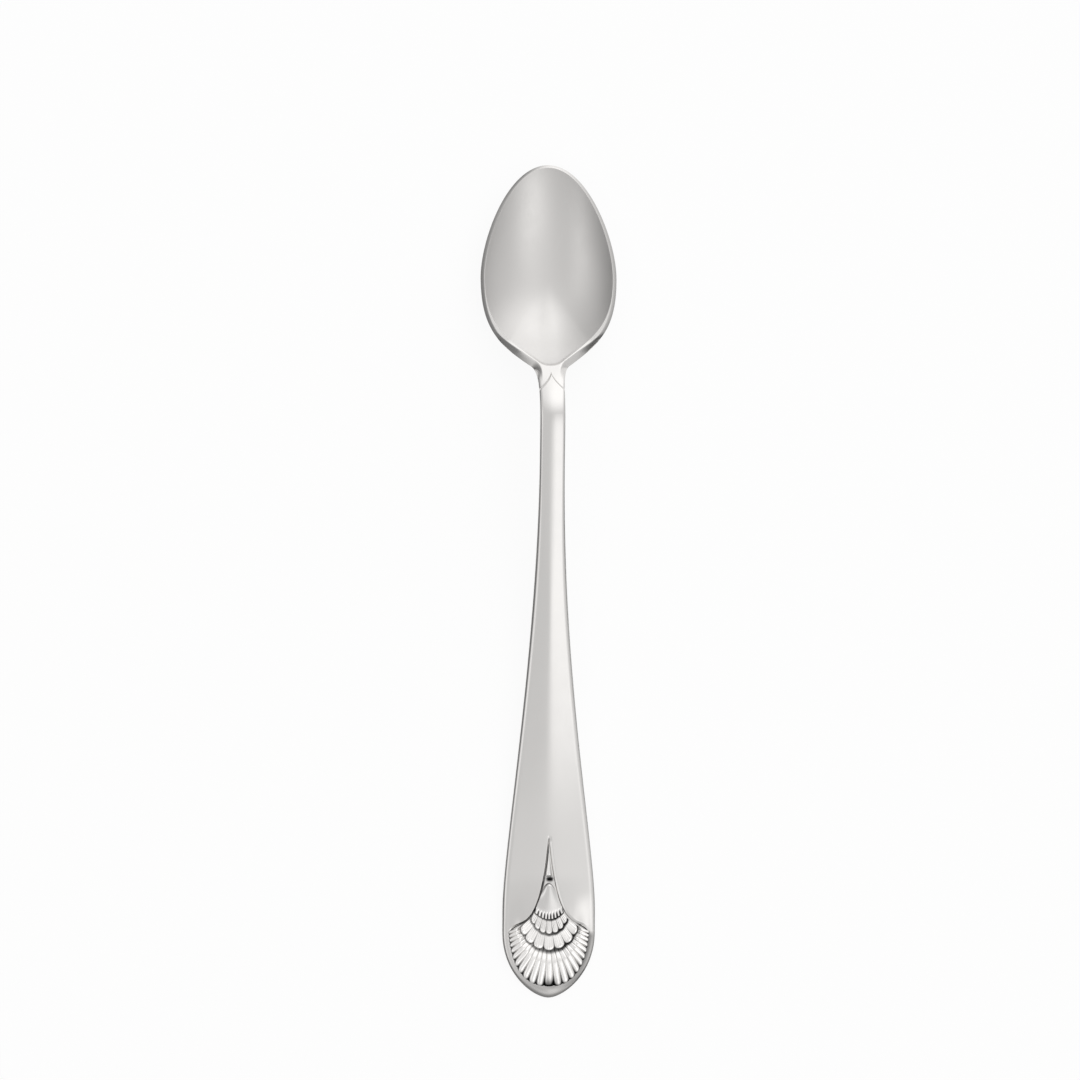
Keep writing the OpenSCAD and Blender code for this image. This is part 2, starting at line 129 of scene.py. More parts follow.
# Arch: a steep wall on the left; a short steep one and a gentle slant on the right
ARCH_LEFT_STEEP = 0.34
ARCH_STEEP = 0.14
ARCH_SLANT = 0.66
ARCH_SLANT_RISE = 0.28
ARCH_SIDE_BLEND = 0.6
# The legs beside the arch swell up from its foot, and sink into the plate's border there
LEG_RUN = 13.0
LEG_SWELL = 0.55
MELT_START, MELT_WIDTH, MELT_RUN = 5.6, 4.0, 9.0
# The stem ends on the neck in a raised point
POINT_LEAD, POINT_REACH, POINT_CURVE = 0.3, 3.9, 0.62
STEP_SLANT = 0.5
STEP_DEPTH = 0.26
# The crown runs out before the bowl; the shares say how much of its width is rounded
CROWN_LEAD, CROWN_RUN = 4.0, 5.0
BLADE_ROUND_SHARE, STEM_ROUND_SHARE = 0.18, 0.9
# Edges of the blade, the tip and the stem: a soft rounding, and a crisp one on the blade
TIP_RUN = 8.0
BLADE_EDGE, BLADE_EDGE_DROP = 1.2, 0.3
TIP_EDGE, TIP_EDGE_DROP = 2.4, 0.7
STEM_EDGE, STEM_EDGE_DROP = 0.62, 0.2
CRISP_EDGE, CRISP_EDGE_DROP = 0.42, 0.11
# The bowl's rim slants outwards; on the shoulders it is a deep wall, and at the front narrower
RIM_LEAD, SHOULDER_BLEND = 3.0, 5.0
FRONT_LEAD, FRONT_BLEND = 12.0, 10.0
RIM_SLANT, RIM_SLANT_DROP = 0.84, 0.58
SHOULDER_SLANT, SHOULDER_DROP = 0.78, 0.85
FRONT_SLANT, FRONT_DROP = 0.26, 0.1
# The dish: its powers in front and towards the root, and the lip at its edge
DISH_POWER, DISH_ROOT_POWER = 2.15, 1.9
POWER_LEAD, POWER_RUN = 4.0, 14.0
OVAL_SHARE = 0.15
LIP_WIDTH, LIP_RUN = 0.6, 5.0
LIP_DROP = 0.12
# Underside: the roundings of its edges, how they grow, and its blend into the bowl's skin
UNDER_EDGE, UNDER_STEM_EDGE = 0.6, 1.0
UNDER_RISE, UNDER_STEM_RISE = 0.35, 1.0
UNDER_RUN = 40.0
BOWL_LEAD, BOWL_BLEND = 3.0, 7.0
PAD_SHARE = 0.14
BOWL_POWER = 2.5

# Curves and blends


def mixed(a, b, t):
    """Straight blend from a to b."""
    return a + (b - a) * t


def ease(t):
    """Smooth step from 0 to 1."""
    t = np.clip(t, 0.0, 1.0)
    return t * t * (3 - 2 * t)


def rising(value, start, run):
    """Share that rises smoothly from 0 at a start to 1 after a run."""
    return ease((value - start) / run)


def steady(value, start, run):
    """Share that rises in a straight line from 0 at a start to 1 after a run."""
    return np.clip((value - start) / run, 0, 1)


def cubic(points, t):
    """Cubic curve through four guide points, at an array of shares t."""
    p = np.asarray(points, float)
    t = np.asarray(t, float)[:, None]
    u = 1 - t
    return p[0] * u**3 + p[1] * 3 * u * u * t + p[2] * 3 * u * t * t + p[3] * t**3


def straight(a, b):
    """Guide points of a straight line, evenly spaced."""
    return [(mixed(a[0], b[0], k / 3), mixed(a[1], b[1], k / 3)) for k in range(4)]


# Shares along a curve: fine ones for lookups, and coarser ones for distances
FINE = np.linspace(0, 1, 1501)
COARSE = np.linspace(0, 1, 141)


def by_station(*curves):
    """Lookup of a curve's first value by its second, from one or more curves end to end."""
    line = np.concatenate([cubic(c, FINE) for c in curves])
    order = np.argsort(line[:, 1], kind="stable")
    return lambda s: np.interp(s, line[order, 1], line[order, 0])


# Outlines seen from above: guide points of half width and station

BLADE_RUN = TAPER_END - TAPER_START
END_CURVE = [
    (0, 0),
    (HALF_HANDLE * 0.32, 0),
    (HALF_HANDLE, END_LENGTH * 0.355),
    (HALF_HANDLE, END_LENGTH),
]
PARALLEL_CURVE = straight((HALF_HANDLE, END_LENGTH), (HALF_HANDLE, TAPER_START))
BLADE_CURVE = [
    (HALF_HANDLE, TAPER_START),
    (HALF_HANDLE, TAPER_START + BLADE_RUN * 0.14),
    (HALF_STEM, TAPER_START + BLADE_RUN * 0.54),
    (HALF_STEM, TAPER_END),
]
FLARE_START = NECK_START + 0.3
FLARE_END = (4.4, ROOT + 1.47)
STEM_CURVE = straight((HALF_STEM, TAPER_END), (HALF_STEM, FLARE_START))
FLARE_CURVE = [
    (HALF_STEM, FLARE_START),
    (HALF_STEM + 0.05, ROOT - 2.8),
    (HALF_STEM + 0.07, ROOT + 0.4),
    FLARE_END,
]
SHOULDER_CURVE = [
    FLARE_END,
    (11.3, ROOT + 6.39),
    (HALF_BOWL, WIDEST - 11.8),
    (HALF_BOWL, WIDEST),
]
FRONT_CURVE = [
    (HALF_BOWL, WIDEST),
    (HALF_BOWL, WIDEST + BOWL_FRONT * 0.335),
    (HALF_BOWL * 0.592, LENGTH),
    (0, LENGTH),
]
OUTLINE_CURVES = [
    END_CURVE, PARALLEL_CURVE, BLADE_CURVE, STEM_CURVE, FLARE_CURVE, SHOULDER_CURVE, FRONT_CURVE
]
half_width = by_station(*OUTLINE_CURVES)

DISH_START = ROOT + DISH_SETBACK
DISH_CORNER = (3.1, DISH_START + 1.15)
HALF_DISH = HALF_BOWL - RIM_WIDTH
DISH_ROOT_CURVE = [(0, DISH_START), (1.9, DISH_START), (2.4, DISH_START + 0.65), DISH_CORNER]
DISH_BACK_CURVE = [
    DISH_CORNER,
    (10.2, DISH_START + 6.6),
    (HALF_DISH, WIDEST - 10.6),
    (HALF_DISH, WIDEST),
]
DISH_FRONT_CURVE = [
    (HALF_DISH, WIDEST),
    (HALF_DISH, WIDEST + BOWL_FRONT * 0.335),
    (HALF_DISH * 0.592, LENGTH - FRONT_RIM_WIDTH),
    (0, LENGTH - FRONT_RIM_WIDTH),
]

ARCH_RUN = ARCH_POINT - ARCH_FOOT
ARCH_CURVE = [
    (ARCH_HALF_WIDTH, ARCH_FOOT),
    (ARCH_HALF_WIDTH * 0.73, ARCH_FOOT + ARCH_RUN * 0.17),
    (ARCH_HALF_WIDTH * 0.24, ARCH_FOOT - ARCH_RUN * 0.09),
    (0, ARCH_POINT),
]
FOOT_CURVE = [
    (HALF_HANDLE, ARCH_FOOT - 0.25),
    (HALF_HANDLE - 0.5, ARCH_FOOT - 0.15),
    (ARCH_HALF_WIDTH + 0.5, ARCH_FOOT - 0.07),
    (ARCH_HALF_WIDTH, ARCH_FOOT),
]

# Heights along the middle: guide points of height and station

PLATE_SLOPE = END_RISE / ARCH_POINT
BLADE_START_HEIGHT = TIP_THICKNESS + END_RISE + ARCH_DEPTH
RISE_RUN = CREST - ARCH_POINT
CREST_RUN = SHOULDER - CREST
RIM_RUN = LENGTH - SHOULDER
PLATE_CURVE = straight((TIP_THICKNESS + ARCH_DEPTH, 0), (BLADE_START_HEIGHT, ARCH_POINT))
BLADE_TOP_CURVE = [
    (BLADE_START_HEIGHT, ARCH_POINT),
    (BLADE_START_HEIGHT + PLATE_SLOPE * RISE_RUN * 0.52, ARCH_POINT + RISE_RUN * 0.52),
    (CREST_HEIGHT, CREST - RISE_RUN * 0.08),
    (CREST_HEIGHT, CREST),
]
CREST_CURVE = [
    (CREST_HEIGHT, CREST),
    (CREST_HEIGHT, CREST + CREST_RUN * 0.42),
    (RIM_HEIGHT + RIM_RISE * 2.1, SHOULDER - CREST_RUN * 0.32),
    (RIM_HEIGHT + RIM_RISE, SHOULDER),
]
RIM_CURVE = [
    (RIM_HEIGHT + RIM_RISE, SHOULDER),
    (RIM_HEIGHT, SHOULDER + RIM_RUN * 0.25),
    (RIM_HEIGHT - RIM_DIP * 1.3, LENGTH - RIM_RUN * 0.25),
    (RIM_HEIGHT - RIM_DIP, LENGTH),
]
top_line = by_station(PLATE_CURVE, BLADE_TOP_CURVE, CREST_CURVE, RIM_CURVE)


def plate_height(s):
    """Level of the end plate: a plane that rises gently from the tip."""
    return TIP_THICKNESS + PLATE_SLOPE * s


def under_line(s):
    """Underside along the middle: flat, then one smooth rise, then the top less the thickness."""
    step = 0.1
    slope = (top_line(ARCH_POINT + step) - top_line(ARCH_POINT)) / step
    run = ARCH_POINT - REST_LENGTH
    u = steady(s, REST_LENGTH, run)
    start = BLADE_START_HEIGHT - BLADE_THICKNESS
    near = start * u * u * (3 - 2 * u) + slope * run * u * u * (u - 1)
    blade = mixed(BLADE_THICKNESS, STEM_THICKNESS, (s - ARCH_POINT) / RISE_RUN)
    neck = mixed(STEM_THICKNESS, ROOT_THICKNESS, (s - CREST) / (ROOT - CREST))
    far = top_line(s) - np.where(s < CREST, blade, neck)
    return np.where(s < ARCH_POINT, near, far)


# Lines seen from above, to measure distances from; longer distances than FAR count as FAR
OUTLINE = np.concatenate([cubic(c, COARSE) for c in OUTLINE_CURVES])
ARCH = np.concatenate([cubic(c, COARSE) for c in (FOOT_CURVE, ARCH_CURVE)])
FAR = 3.0
BAND = 3.0


def distance_to(line, x, s):
    """Least distance to the straight steps of a line, worked out where it is below FAR.

    The points are taken in bands of stations, each against the steps that pass within FAR of it.
    """
    a, b = line[:-1], line[1:]
    least = np.full(x.shape, FAR)
    for start in np.arange(0, LENGTH, BAND):
        inside = (s >= start) & (s <= start + BAND)
        highest, lowest = np.maximum(a[:, 1], b[:, 1]), np.minimum(a[:, 1], b[:, 1])
        close = (highest > start - FAR) & (lowest < start + BAND + FAR)
        if not inside.any() or not close.any():
            continue
        p = np.stack([np.abs(x[inside]), s[inside]], 1)[:, None, :]
        step = b[close] - a[close]
        along = ((p - a[close]) * step).sum(2) / np.maximum((step**2).sum(1), 1e-12)
        nearest = a[close] + np.clip(along, 0, 1)[..., None] * step
        least[inside] = np.minimum(least[inside], np.sqrt(((p - nearest) ** 2).sum(2)).min(1))
    return least


def polar_radius(curves, inset=0.0):
    """Distance from the bowl's deepest place to an outline, against the angle from the root."""
    line = np.concatenate([cubic(c, FINE) for c in curves])
    r = np.hypot(line[:, 0], line[:, 1] - WIDEST) - inset
    angle = np.arctan2(line[:, 0], WIDEST - line[:, 1])
    order = np.argsort(angle, kind="stable")
    return lambda a: np.interp(a, angle[order], r[order])


ROOT_CORNER = (half_width(ROOT), ROOT)
ROOT_CURVE = straight((0, ROOT), ROOT_CORNER)
REST_OF_FLARE = straight(ROOT_CORNER, FLARE_END)
bowl_radius = polar_radius([ROOT_CURVE, REST_OF_FLARE, SHOULDER_CURVE, FRONT_CURVE], inset=0.3)
dish_radius = polar_radius([DISH_ROOT_CURVE, DISH_BACK_CURVE, DISH_FRONT_CURVE])


def across(x, s):
    """Share of the way from the middle line to the outline."""
    return np.clip(np.abs(x) / np.maximum(half_width(s), 1e-6), 0, 1)


def from_deepest(x, s):
    """Distance and angle from the bowl's deepest place; the angle starts at the root."""
    return np.hypot(x, s - WIDEST), np.arctan2(np.abs(x), WIDEST - s)


def rim_line(s):
    """Height of the bowl's edge: a step below the stem at the root, level past the shoulder."""
    lowered = 1 - rising(s, DISH_START, SHOULDER - DISH_START)
    return top_line(s) - STEP_DEPTH * lowered


def near_root(s):
    """1 at the root of the bowl, falling smoothly to 0 at the shoulder."""
    return 1 - rising(s, ROOT, SHOULDER_RUN)


def on_stem(s):
    """0 on the blade, rising smoothly to 1 on the stem."""
    return rising(s, BLADE_END, TAPER_END - BLADE_END)


def on_rim(s):
    """0 on the handle, rising smoothly to 1 on the bowl."""
    return rising(s, ROOT - RIM_LEAD, SHOULDER_BLEND)


def crown_at(x, s):
    """Drop of the top away from the middle line: a soft roof on the blade, rounder on the stem.

    The roof is a hyperbola: straight sides, rounded at the middle.
    """
    blade = mixed(ARCH_CROWN, RIDGE_HEIGHT, rising(s, ARCH_POINT, RISE_RUN * 0.25))
    height = mixed(blade, STEM_CROWN, on_stem(s))
    u = across(x, s)
    soft = mixed(BLADE_ROUND_SHARE, STEM_ROUND_SHARE, on_stem(s))
    roof = (np.sqrt(u * u + soft * soft) - soft) / (np.sqrt(1 + soft * soft) - soft)
    return height * (1 - rising(s, ROOT - CROWN_LEAD, CROWN_RUN)) * roof


def edge_drop(s, d):
    """How far the top comes down at a distance d inside the outline.

    The handle has a wide soft rounding and a narrow one at its edge; the stem and the tip have one
    each. The bowl's rim slants over its whole width, and the shoulder has a deep slanted wall.
    """
    tip, stem = 1 - rising(s, 0, TIP_RUN), on_stem(s)
    width = mixed(mixed(BLADE_EDGE, TIP_EDGE, tip), STEM_EDGE, stem)
    drop = mixed(mixed(BLADE_EDGE_DROP, TIP_EDGE_DROP, tip), STEM_EDGE_DROP, stem)
    soft = np.clip(1 - d / width, 0, 1)
    crisp = np.clip(1 - d / CRISP_EDGE, 0, 1)
    handle = drop * soft**2 + CRISP_EDGE_DROP * (1 - tip) * (1 - stem) * crisp**1.5
    shoulder = on_rim(s) * (1 - rising(s, SHOULDER - RIM_LEAD, SHOULDER_BLEND))
    front = rising(s, LENGTH - FRONT_LEAD, FRONT_BLEND)
    width = RIM_SLANT + SHOULDER_SLANT * shoulder - FRONT_SLANT * front
    drop = RIM_SLANT_DROP + SHOULDER_DROP * shoulder - FRONT_DROP * front
    rim = drop * np.clip(1 - d / width, 0, 1) ** 1.1
    return mixed(handle, rim, on_rim(s))


def arch_wall(d, x, rise):
    """Share of the rise at a distance d outside the arch: a steep wall, slanted on the right."""
    right = rising(x, -ARCH_SIDE_BLEND / 2, ARCH_SIDE_BLEND)
    slant = right * ARCH_SLANT_RISE / np.maximum(rise, ARCH_SLANT_RISE)
    steep = mixed(ARCH_LEFT_STEEP, ARCH_STEEP, right)
    return (1 - slant) * ease(d / steep) + slant * steady(d, 0, ARCH_SLANT)


def outer_top(x, s):
    """Top outside the arch and the dish: middle line, crown, raised stem end, rounded edge.

    Beside the arch the top comes down to the plate over a short slant, and near the outline it
    melts into the plate's border. Past the pointed end of the raised stem it lies a step lower.
    """
    u = across(x, s)
    point = ROOT - POINT_LEAD - POINT_REACH * u**POINT_CURVE
    height = mixed(top_line(s), rim_line(s), rising(s, point, STEP_SLANT)) - crown_at(x, s)
    swell = LEG_SWELL * (1 - rising(s, ARCH_FOOT, LEG_RUN)) * (1 - u * u)
    melt = rising(np.abs(x), MELT_START, MELT_WIDTH) * (1 - rising(s, ARCH_FOOT, MELT_RUN))
    plate = plate_height(s)
    leg = mixed(height + swell, plate, melt)
    before = mixed(plate, leg, arch_wall(distance_to(ARCH, x, s), x, leg - plate))
    past = height - ARCH_DEPTH * (1 - arch_wall(np.hypot(x, s - ARCH_POINT), x, ARCH_DEPTH))
    height = np.where(s <= ARCH_POINT, before, past)
    return height - edge_drop(s, distance_to(OUTLINE, x, s))


def dish_top(x, s):
    """Dish: from the deepest place the metal rises with a power of the share of the way out.

    Near the deepest place the share is an oval's, so that no crease runs along the middle line.
    """
    r, angle = from_deepest(x, s)
    reach = dish_radius(angle)
    rim = rim_line(WIDEST - reach * np.cos(angle))
    back, front = WIDEST - DISH_START, BOWL_FRONT - RIM_WIDTH
    half_length = np.where(s < WIDEST, back, front)
    oval = ((np.abs(x) / HALF_DISH) ** 2 + (np.abs(s - WIDEST) / half_length) ** 2) ** 0.5
    share = mixed(oval, r / reach, rising(r / reach, OVAL_SHARE, 1 - OVAL_SHARE))
    power = mixed(DISH_POWER, DISH_ROOT_POWER, rising(WIDEST - s, POWER_LEAD, POWER_RUN))
    lip = LIP_DROP * rising(reach - r, 0, LIP_WIDTH) * (1 - rising(s, DISH_START, LIP_RUN))
    return BOWL_WALL + (rim - BOWL_WALL) * np.minimum(1, share) ** power - lip


def under(x, s):
    """Underside: the handle's belly, blended over the neck into the bowl's outer skin.

    The belly rises with the square of the share across and its edge is a quarter round. The
    bowl's skin rises with a power of the share of the way out, from a flat patch it rests on.
    """
    u = across(x, s)
    belly = mixed(BLADE_BELLY * rising(s, REST_LENGTH, ARCH_POINT - REST_LENGTH),
                  STEM_BELLY, rising(s, ARCH_POINT, RISE_RUN))
    grown = rising(s, BLADE_END, UNDER_RUN)
    t = np.clip(1 - distance_to(OUTLINE, x, s) / mixed(UNDER_EDGE, UNDER_STEM_EDGE, grown), 0, 1)
    handle = (under_line(s) + belly * u * u
              + mixed(UNDER_RISE, UNDER_STEM_RISE, grown) * (1 - np.sqrt(1 - t * t)))
    r, angle = from_deepest(x, s)
    reach = bowl_radius(angle)
    rim_place = WIDEST - reach * np.cos(angle)
    edge = top_line(rim_place) - mixed(RIM_EDGE, ROOT_THICKNESS, near_root(rim_place))
    skin = edge * np.clip((r / reach - PAD_SHARE) / (1 - PAD_SHARE), 0, 2) ** BOWL_POWER
    return mixed(handle, skin, rising(s, ROOT - BOWL_LEAD, BOWL_BLEND))


# Rows of the grid: outline place O and inner place A, which is on the arch, the dish's edge
# or the middle line. Columns run from O on the left to A, across the middle, and back to O.
# The counts put the rows close together where the form turns quickly.


def rows_of(curve, count):
    """Places along a curve at even shares, without its last point."""
    return cubic(curve, np.linspace(0, 1, count, endpoint=False))


def straight_rows(start, end, count):
    """Places on the middle line at even steps of station."""
    return np.stack([np.zeros(count), np.linspace(start, end, count, endpoint=False)], 1)


# The end's rows stop a little short of the arch's foot, and the stem's point has close rows
END_GAP = 0.3
CLOSE_RUN = 5.0

end_rows = cubic(END_CURVE, np.linspace(0, 1, 64))
end_rows = end_rows[end_rows[:, 1] < ARCH_FOOT - END_GAP]
foot_rows = rows_of(FOOT_CURVE, 10)
arch_rows = rows_of(ARCH_CURVE, 110)
middle_rows = np.concatenate([
    straight_rows(ARCH_POINT, BLADE_END, 70),
    straight_rows(BLADE_END, CREST, 60),
    straight_rows(CREST, ROOT - CLOSE_RUN, 24),
    straight_rows(ROOT - CLOSE_RUN, ROOT, 60),
    straight_rows(ROOT, DISH_START, 16),
])
dish_root_rows = rows_of(DISH_ROOT_CURVE, 22)
dish_back_rows = rows_of(DISH_BACK_CURVE, 80)
# At the front the rows stand closer towards the bowl's end
front_shares = 1 - (1 - np.linspace(0, 1, 91)) ** 1.15
dish_front_rows = cubic(DISH_FRONT_CURVE, front_shares)
front_outline = cubic(FRONT_CURVE, front_shares)

inner = np.concatenate([end_rows, foot_rows, arch_rows, middle_rows,
                        dish_root_rows, dish_back_rows, dish_front_rows])
outer = inner.copy()
outer[:, 0] = half_width(inner[:, 1])
outer[: len(end_rows)] = end_rows
outer[-len(dish_front_rows):] = front_outline
FIRST_ARCH = len(end_rows)
FIRST_MIDDLE = FIRST_ARCH + len(foot_rows) + len(arch_rows)
FIRST_DISH = FIRST_MIDDLE + len(middle_rows)

# Columns, as shares: 0 at A and 1 at O, and -1 to 1 between the two inner places. They stand
# closer together in a band at A and in another at O.
INNER_BAND, OUTER_BAND = 0.12, 0.16
outer_shares = np.concatenate([
    INNER_BAND * np.linspace(0, 1, 16, endpoint=False) ** 1.4,
    np.linspace(INNER_BAND, 1 - OUTER_BAND, 22, endpoint=False),
    1 - OUTER_BAND * np.linspace(1, 0, 16) ** 1.5,
])
inner_shares = np.sin(np.linspace(-1, 1, 81) * math.pi / 2)
SIDE = len(outer_shares)
MIDDLE = len(inner_shares)
COLUMNS = 2 * SIDE + MIDDLE
ROWS = len(inner)
LAST = ROWS - 1
END_LEFT, END_RIGHT = SIDE, SIDE + MIDDLE - 1


def plan_grid():
    """Places of all rows and columns seen from above: left side, middle, right side."""
    ax, a_s = inner[:, :1], inner[:, 1:]
    ox, o_s = outer[:, :1], outer[:, 1:]
    x, s = mixed(ax, ox, outer_shares), mixed(a_s, o_s, outer_shares)
    middle_x = ax * inner_shares
    middle_s = a_s + 0 * middle_x
    return (np.concatenate([-x[:, ::-1], middle_x, x], 1),
            np.concatenate([s[:, ::-1], middle_s, s], 1))


plan_x, plan_s = plan_grid()


def top_grid():
    """Heights of the top: the plate up to the arch, the dish in the bowl, the rest between."""
    height = outer_top(plan_x, plan_s)
    row = np.arange(ROWS)[:, None]
    column = np.arange(COLUMNS)[None, :]
    middle = (column >= END_LEFT) & (column <= END_RIGHT)
    plate = plate_height(plan_s) - edge_drop(plan_s, distance_to(OUTLINE, plan_x, plan_s))
    on_plate = (row < FIRST_ARCH) | (middle & (row < FIRST_MIDDLE))
    in_dish = middle & (row >= FIRST_DISH)
    return np.where(on_plate, plate, np.where(in_dish, dish_top(plan_x, plan_s), height))


# Both skins as one list of points: first the top's, then the underside's, row by row
plan = np.stack([plan_x, plan_s - LENGTH / 2], 2)
skins = np.concatenate([
    np.concatenate([plan, top_grid()[..., None]], 2).reshape(-1, 3),
    np.concatenate([plan, under(plan_x, plan_s)[..., None]], 2).reshape(-1, 3),
]) * MM
UNDERSIDE = ROWS * COLUMNS
number = np.arange(ROWS * COLUMNS).reshape(ROWS, COLUMNS)


def patch(first, last, left=0, right=COLUMNS - 1):
    """Faces of both skins between two rows and two columns, outwards."""
    n = number[first:last + 1, left:right + 1]
    top = np.stack([n[:-1, :-1], n[:-1, 1:], n[1:, 1:], n[1:, :-1]], -1).reshape(-1, 4)
    return np.concatenate([top, top[:, ::-1] + UNDERSIDE])


def wall(line):
    """Upright faces between the skins along a line of points, outwards to the line's right."""
    a, b = line[:-1], line[1:]
    return np.stack([a, a + UNDERSIDE, b + UNDERSIDE, b], -1)


def side_walls(first, last, left=0, right=COLUMNS - 1):
    """Upright faces along the two outer columns of a patch."""
    return np.concatenate([wall(number[first:last + 1, left][::-1]),
                           wall(number[first:last + 1, right])])


def slab(first, last, left=0, right=COLUMNS - 1):
    """Faces round a part of the spoon between two rows and two columns; its ends stay open."""
    return np.concatenate([patch(first, last, left, right), side_walls(first, last, left, right)])


def welded_numbers(points, limit=2e-7):
    """For each point, the number of the first point that shares its place, to a limit in metres."""
    keys = np.round(points / limit).astype(np.int64)
    first, back = np.unique(keys, axis=0, return_index=True, return_inverse=True)[1:]
    return first[back.reshape(-1)]


same_place = welded_numbers(skins)


def clean_faces(faces):
    """Faces on welded points; those that close up are dropped or cut down to triangles."""
    f = same_place[faces]
    closed = f == np.roll(f, -1, axis=1)
    kept = [f[~closed.any(1)]]
    for corner in range(4):
        only = closed[:, corner] & (closed.sum(1) == 1)
        kept.append(np.delete(f[only], corner, axis=1))
    return kept


def smooth_normals():
    """Normals of the whole spoon's skin at each point, so that no seam shows between pieces."""
    total = np.zeros_like(skins)
    for group in clean_faces(slab(0, LAST)):
        corners = skins[group]
        if group.shape[1] == 3:
            facing = np.cross(corners[:, 1] - corners[:, 0], corners[:, 2] - corners[:, 0])
        else:
            facing = np.cross(corners[:, 2] - corners[:, 0], corners[:, 3] - corners[:, 1])
        for corner in range(group.shape[1]):
            np.add.at(total, group[:, corner], facing)
    length = np.linalg.norm(total, axis=1, keepdims=True)
    return total / np.maximum(length, 1e-30)


normals = smooth_normals()


# Materials


def linear(hex_colour):
    """sRGB hex colour as linear red, green, blue and 1."""
    parts = [int(hex_colour[i:i + 2], 16) / 255 for i in (0, 2, 4)]
    return [p / 12.92 if p <= 0.04045 else ((p + 0.055) / 1.055) ** 2.4 for p in parts] + [1.0]


def node(tree, kind, settings=None, links=None):
    """Adds a node, sets its properties and inputs, and links the sockets that are given.

    A socket is called by its name, or by its number where several share a name.
    """
    made = tree.nodes.new(kind)
    for key, value in (settings or {}).items():
        if isinstance(key, int) or key in made.inputs:
            made.inputs[key].default_value = value
        else:
            setattr(made, key, value)
    for key, source in (links or {}).items():
        tree.links.new(source, made.inputs[key])
    return made


# Size of the cloudiness that use leaves, and depth of the polishing lines, in millimetres
CLOUD_SIZE = 6.25
LINE_DEPTH = 0.02
# The middle part of a noise pattern, which sets the gloss
NOISE_LOW, NOISE_HIGH = 0.3, 0.7
# Near black of the painted shade in the pattern's low places and on the plate
PAINTED_SHADE_COLOUR = "161616"


def steel(name, colour, dull, bright, line_gap, line_length, relief=0.04, painted_shade_in_recesses=False):
    """Forged 18/10 stainless steel, ground and polished along its length.

    Two patterns set its gloss between two roughness values: fine polishing lines, given by their
    gap and length in millimetres, and a cloudiness a few millimetres across from use.
    """
    material = bpy.data.materials.new(name)
    material.use_nodes = True
    tree = material.node_tree
    shader = tree.nodes["Principled BSDF"]
    shader.inputs["Metallic"].default_value = 1.0
    shader.inputs["Base Color"].default_value = linear(colour)
    place = node(tree, "ShaderNodeTexCoord").outputs["Object"]
    across_lines, along_lines = 1 / (line_gap * MM), 1 / (line_length * MM)
    lines_place = node(tree, "ShaderNodeMapping",
                       {"Scale": (across_lines, along_lines, across_lines)}, {"Vector": place})
    lines = node(tree, "ShaderNodeTexNoise", {"Scale": 1.0, "Detail": 3.0, "Roughness": 0.6},
                 {"Vector": lines_place.outputs["Vector"]})
    cloud = node(tree, "ShaderNodeTexNoise",
                 {"Scale": 1 / (CLOUD_SIZE * MM), "Detail": 4.0, "Roughness": 0.55},
                 {"Vector": place})
    together = node(tree, "ShaderNodeMix", {"data_type": "FLOAT", "Factor": 0.5},
                    {"A": cloud.outputs["Fac"], "B": lines.outputs["Fac"]})
    gloss = node(tree, "ShaderNodeMapRange",
                 {"From Min": NOISE_LOW, "From Max": NOISE_HIGH, "To Min": bright, "To Max": dull},
                 {"Value": together.outputs["Result"]})
    tree.links.new(gloss.outputs["Result"], shader.inputs["Roughness"])
    bump = node(tree, "ShaderNodeBump", {"Strength": relief, "Distance": LINE_DEPTH * MM},
                {"Height": lines.outputs["Fac"]})
    tree.links.new(bump.outputs["Normal"], shader.inputs["Normal"])
    if painted_shade_in_recesses:
        # Painted shade in the low places of the pattern and beside its walls: there the steel is
        # painted near black
        low = node(tree, "ShaderNodeAttribute", {"attribute_name": "painted_shade"})
        # Sockets 6 and 7 are the two colours of the mix, and 2 is the colour that comes out
        painted_shade_mix = node(tree, "ShaderNodeMix",
                    {"data_type": "RGBA", 6: linear(colour), 7: linear(PAINTED_SHADE_COLOUR)},
                    {0: low.outputs["Fac"]})
        tree.links.new(painted_shade_mix.outputs[2], shader.inputs["Base Color"])
    return material


# Mirror polish dulled by washing: bright, with slightly soft reflections
STEEL = steel("polished_stainless_steel", "dddbd9",
              dull=0.22, bright=0.14, line_gap=0.25, line_length=12)
# The inside of the bowl keeps a satin from the buffing wheel: reflections melt into soft light
SATIN = steel("satin_buffed_stainless_steel", "d6d4d2",
              dull=0.4, bright=0.3, line_gap=0.3, line_length=9, relief=0.06)
# The stamped pattern: its steel is painted brighter than the rest as a painted highlight on the
# raised parts, and its low parts get painted shade
STAMPED_PAINTED_LIGHT = steel("stamped_steel_painted_highlight_and_shade", "f8f6f4",
                dull=0.2, bright=0.12, line_gap=0.2, line_length=3, painted_shade_in_recesses=True)
# The plate under the pattern: polished, with painted shade in its corners
PLATE_PAINTED_SHADE = steel("polished_stainless_steel_painted_shade", "dddbd9",
              dull=0.22, bright=0.14, line_gap=0.25, line_length=12, painted_shade_in_recesses=True)


def piece(name, points, faces, material=None):
    """Adds a closed piece of steel that stands for the node of the same name."""
    mesh = bpy.data.meshes.new(name)
    mesh.from_pydata(points.tolist(), [], faces)
    mesh.materials.append(material or STEEL)
    mesh.shade_smooth()
    obj = bpy.data.objects.new(name + "_surface", mesh)
    bpy.context.scene.collection.objects.link(obj)
    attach(obj, "root")
    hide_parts(name)
    return obj


